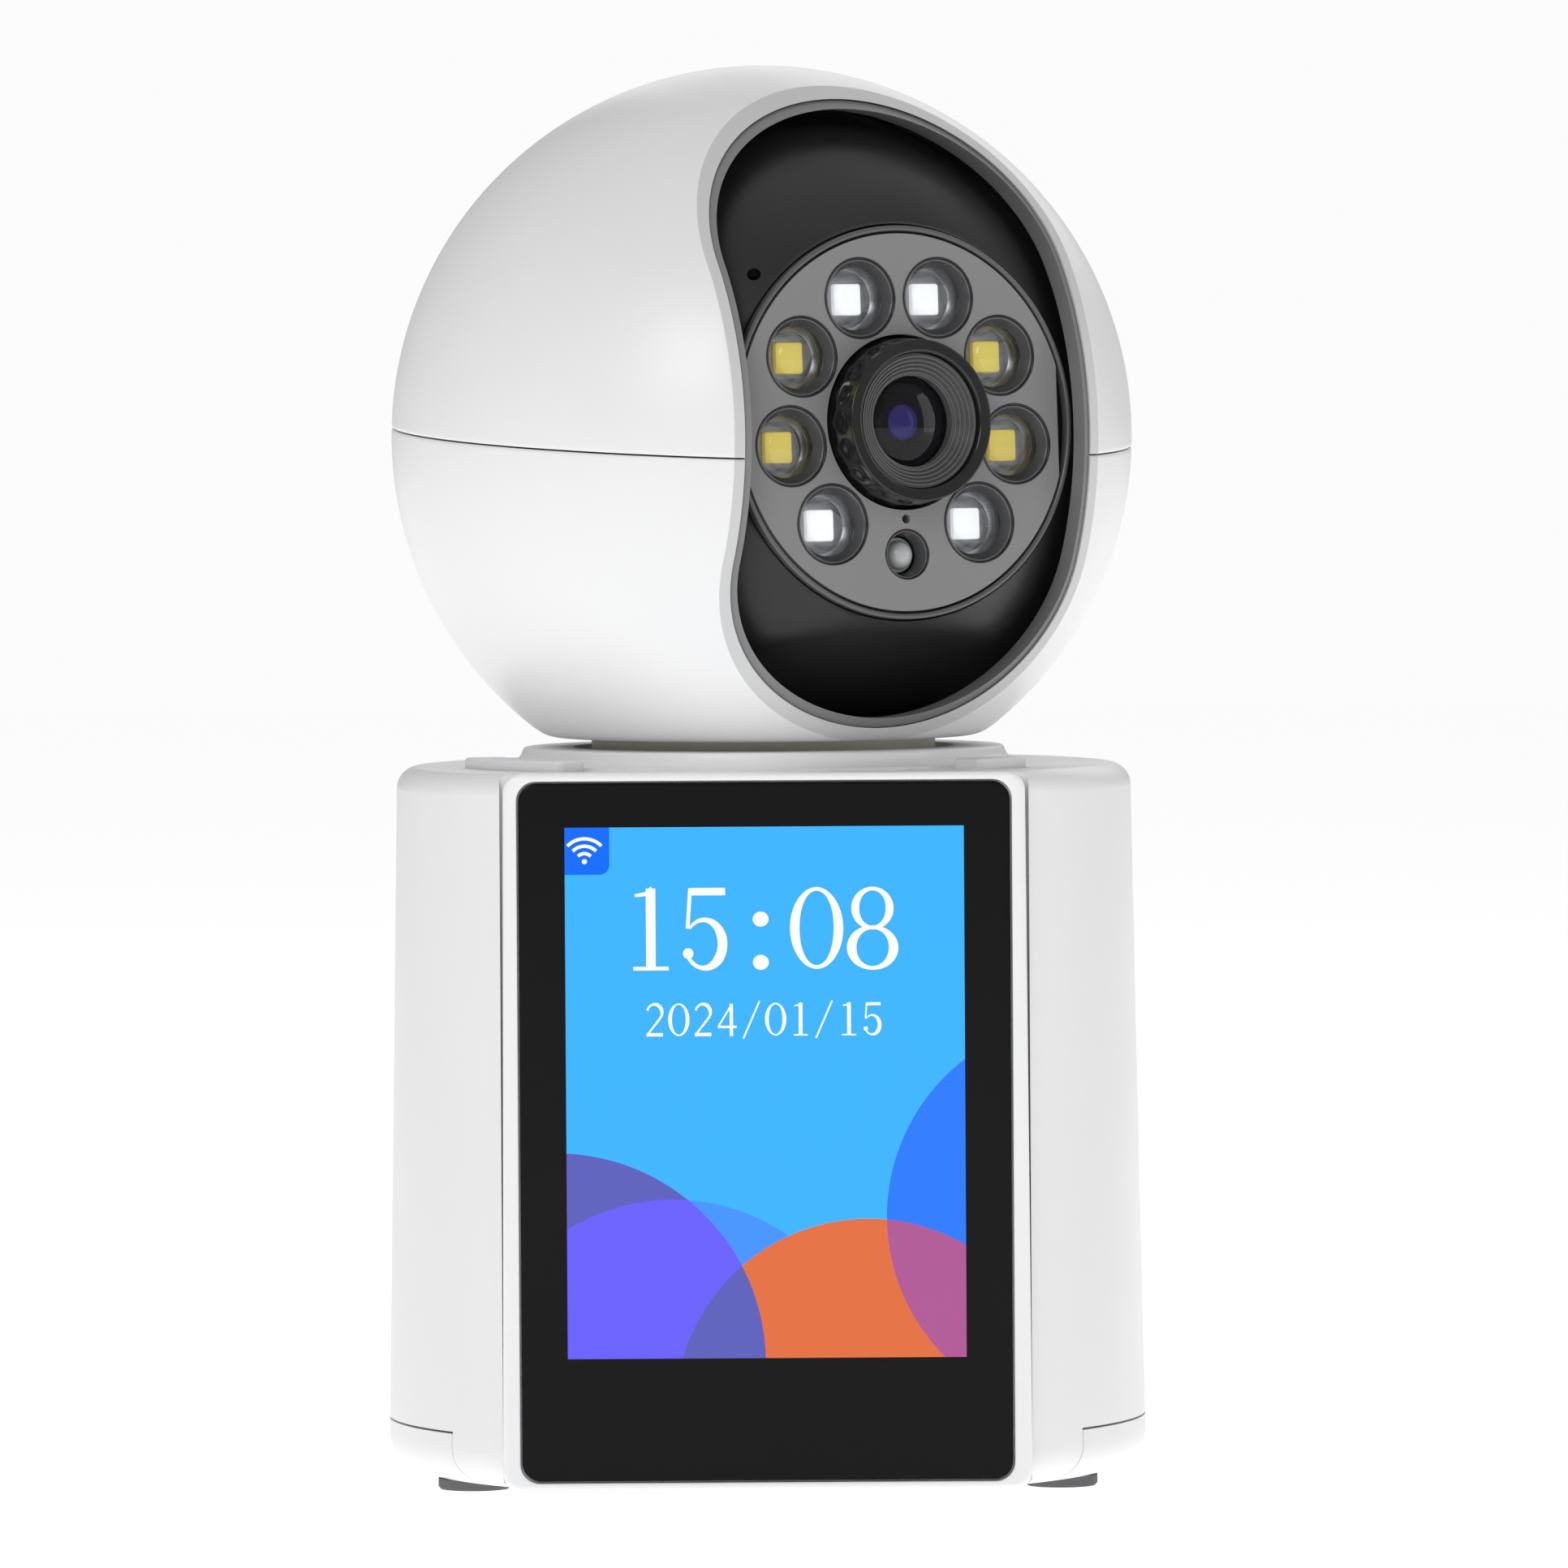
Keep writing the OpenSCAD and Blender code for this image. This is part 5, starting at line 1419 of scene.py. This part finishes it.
class DISPLAY_OT_stage(BuildStep):
    """Sets up the floor, the light and the camera."""

    bl_idname = "display.stage"
    bl_label = "Stage"

    def build(self, scene):
        s = scene.look_settings
        self.floor()
        scene.world = self.surroundings(s.ambient, s.backdrop)
        target = (0, 0, 0.08)
        area_light("key", (-0.42, -1.0, 0.62), target, (0.5, 0.5), 3.6)
        area_light("fill", (1.1, -0.1, 0.3), target, (0.4, 0.8), 1.6)
        area_light("top", (0.0, 0.1, 1.0), target, (0.9, 0.9), 1.0)
        area_light("back", (0.2, 0.9, 0.6), target, (0.8, 0.6), 1.5)
        scene.view_settings.view_transform = "Standard"
        data = bpy.data.cameras.new("camera")
        data.lens, data.sensor_width, data.clip_end = s.lens, 36.0, 20.0
        camera = placed("camera", data)
        camera.location = s.camera
        aim = facing_turn(s.camera, s.target).to_matrix().to_4x4()
        camera.rotation_euler = (aim @ Matrix(turn_z(s.roll).tolist()).to_4x4()).to_euler()
        scene.camera = camera

    def floor(self):
        """A level floor, three metres each way."""
        corners = np.array([[-1, -1, 0], [1, -1, 0], [1, 1, 0], [-1, 1, 0]]) * 3.0
        mesh = bpy.data.meshes.new("floor")
        mesh.from_pydata(corners, [], [(0, 1, 2, 3)])
        floor = placed("floor", mesh)
        mesh.materials.append(finish_of("studio_paper", colour(250, 250, 250), 0.9, 1.2, 0.01,
                                        Specular_IOR_Level=0.1, Emission_Color=(1, 1, 1, 1),
                                        Emission_Strength=0.6))
        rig.stage(floor)

    def surroundings(self, light, backdrop):
        """A plain world: one strength as light on the object, another where the camera sees it."""
        world = bpy.data.worlds.new("studio")
        world.use_nodes = True
        tree = world.node_tree
        path, strength = tree.nodes.new("ShaderNodeLightPath"), tree.nodes.new("ShaderNodeMix")
        strength.inputs["A"].default_value, strength.inputs["B"].default_value = light, backdrop
        tree.links.new(path.outputs["Is Camera Ray"], strength.inputs["Factor"])
        background = tree.nodes["Background"]
        background.inputs["Color"].default_value = (1, 1, 1, 1)
        tree.links.new(strength.outputs["Result"], background.inputs["Strength"])
        return world


class DISPLAY_PT_panel(bpy.types.Panel):
    """Settings and steps in the sidebar."""

    bl_idname = "DISPLAY_PT_panel"
    bl_label = "Desk Display"
    bl_space_type = "VIEW_3D"
    bl_region_type = "UI"
    bl_category = "Display"

    def draw(self, context):
        for steps, group in PANEL_GROUPS:
            box = self.layout.box()
            for step in steps:
                box.operator(step.bl_idname)
            settings = getattr(context.scene, group)
            for name in settings.bl_rna.properties.keys():
                if name not in ("rna_type", "name"):
                    box.prop(settings, name)


GROUPS = {"ball_settings": BallSettings, "eye_settings": EyeSettings, "base_settings": BaseSettings,
          "look_settings": LookSettings}
STEPS = (DISPLAY_OT_ball, DISPLAY_OT_eye, DISPLAY_OT_lamps, DISPLAY_OT_lens, DISPLAY_OT_base,
         DISPLAY_OT_picture, DISPLAY_OT_inner, DISPLAY_OT_stage)
PANEL_GROUPS = (((DISPLAY_OT_ball,), "ball_settings"),
                ((DISPLAY_OT_eye, DISPLAY_OT_lamps, DISPLAY_OT_lens), "eye_settings"),
                ((DISPLAY_OT_base, DISPLAY_OT_picture, DISPLAY_OT_inner), "base_settings"),
                ((DISPLAY_OT_stage,), "look_settings"))


def register():
    """Registers the settings, the steps and the panel."""
    for made in (*GROUPS.values(), *STEPS, DISPLAY_PT_panel):
        bpy.utils.register_class(made)
    for name, made in GROUPS.items():
        setattr(bpy.types.Scene, name, PointerProperty(type=made))


def unregister():
    """Takes away what register added."""
    for name in GROUPS:
        delattr(bpy.types.Scene, name)
    for made in reversed((*GROUPS.values(), *STEPS, DISPLAY_PT_panel)):
        bpy.utils.unregister_class(made)


def plain(bounds):
    """Bounds as plain lists of numbers."""
    return [[float(v) for v in corner] for corner in bounds]


def main():
    """Builds everything in order and writes the sizes before and after."""
    register()
    for step in STEPS:
        group, name = step.bl_idname.split(".")
        getattr(getattr(bpy.ops, group), name)()
    with open("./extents.json", "w", encoding="utf-8") as sizes:
        json.dump({"cad": plain(CAD_BOX), "visual": plain(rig.bounds())}, sizes)


if __name__ == "__main__":
    main()
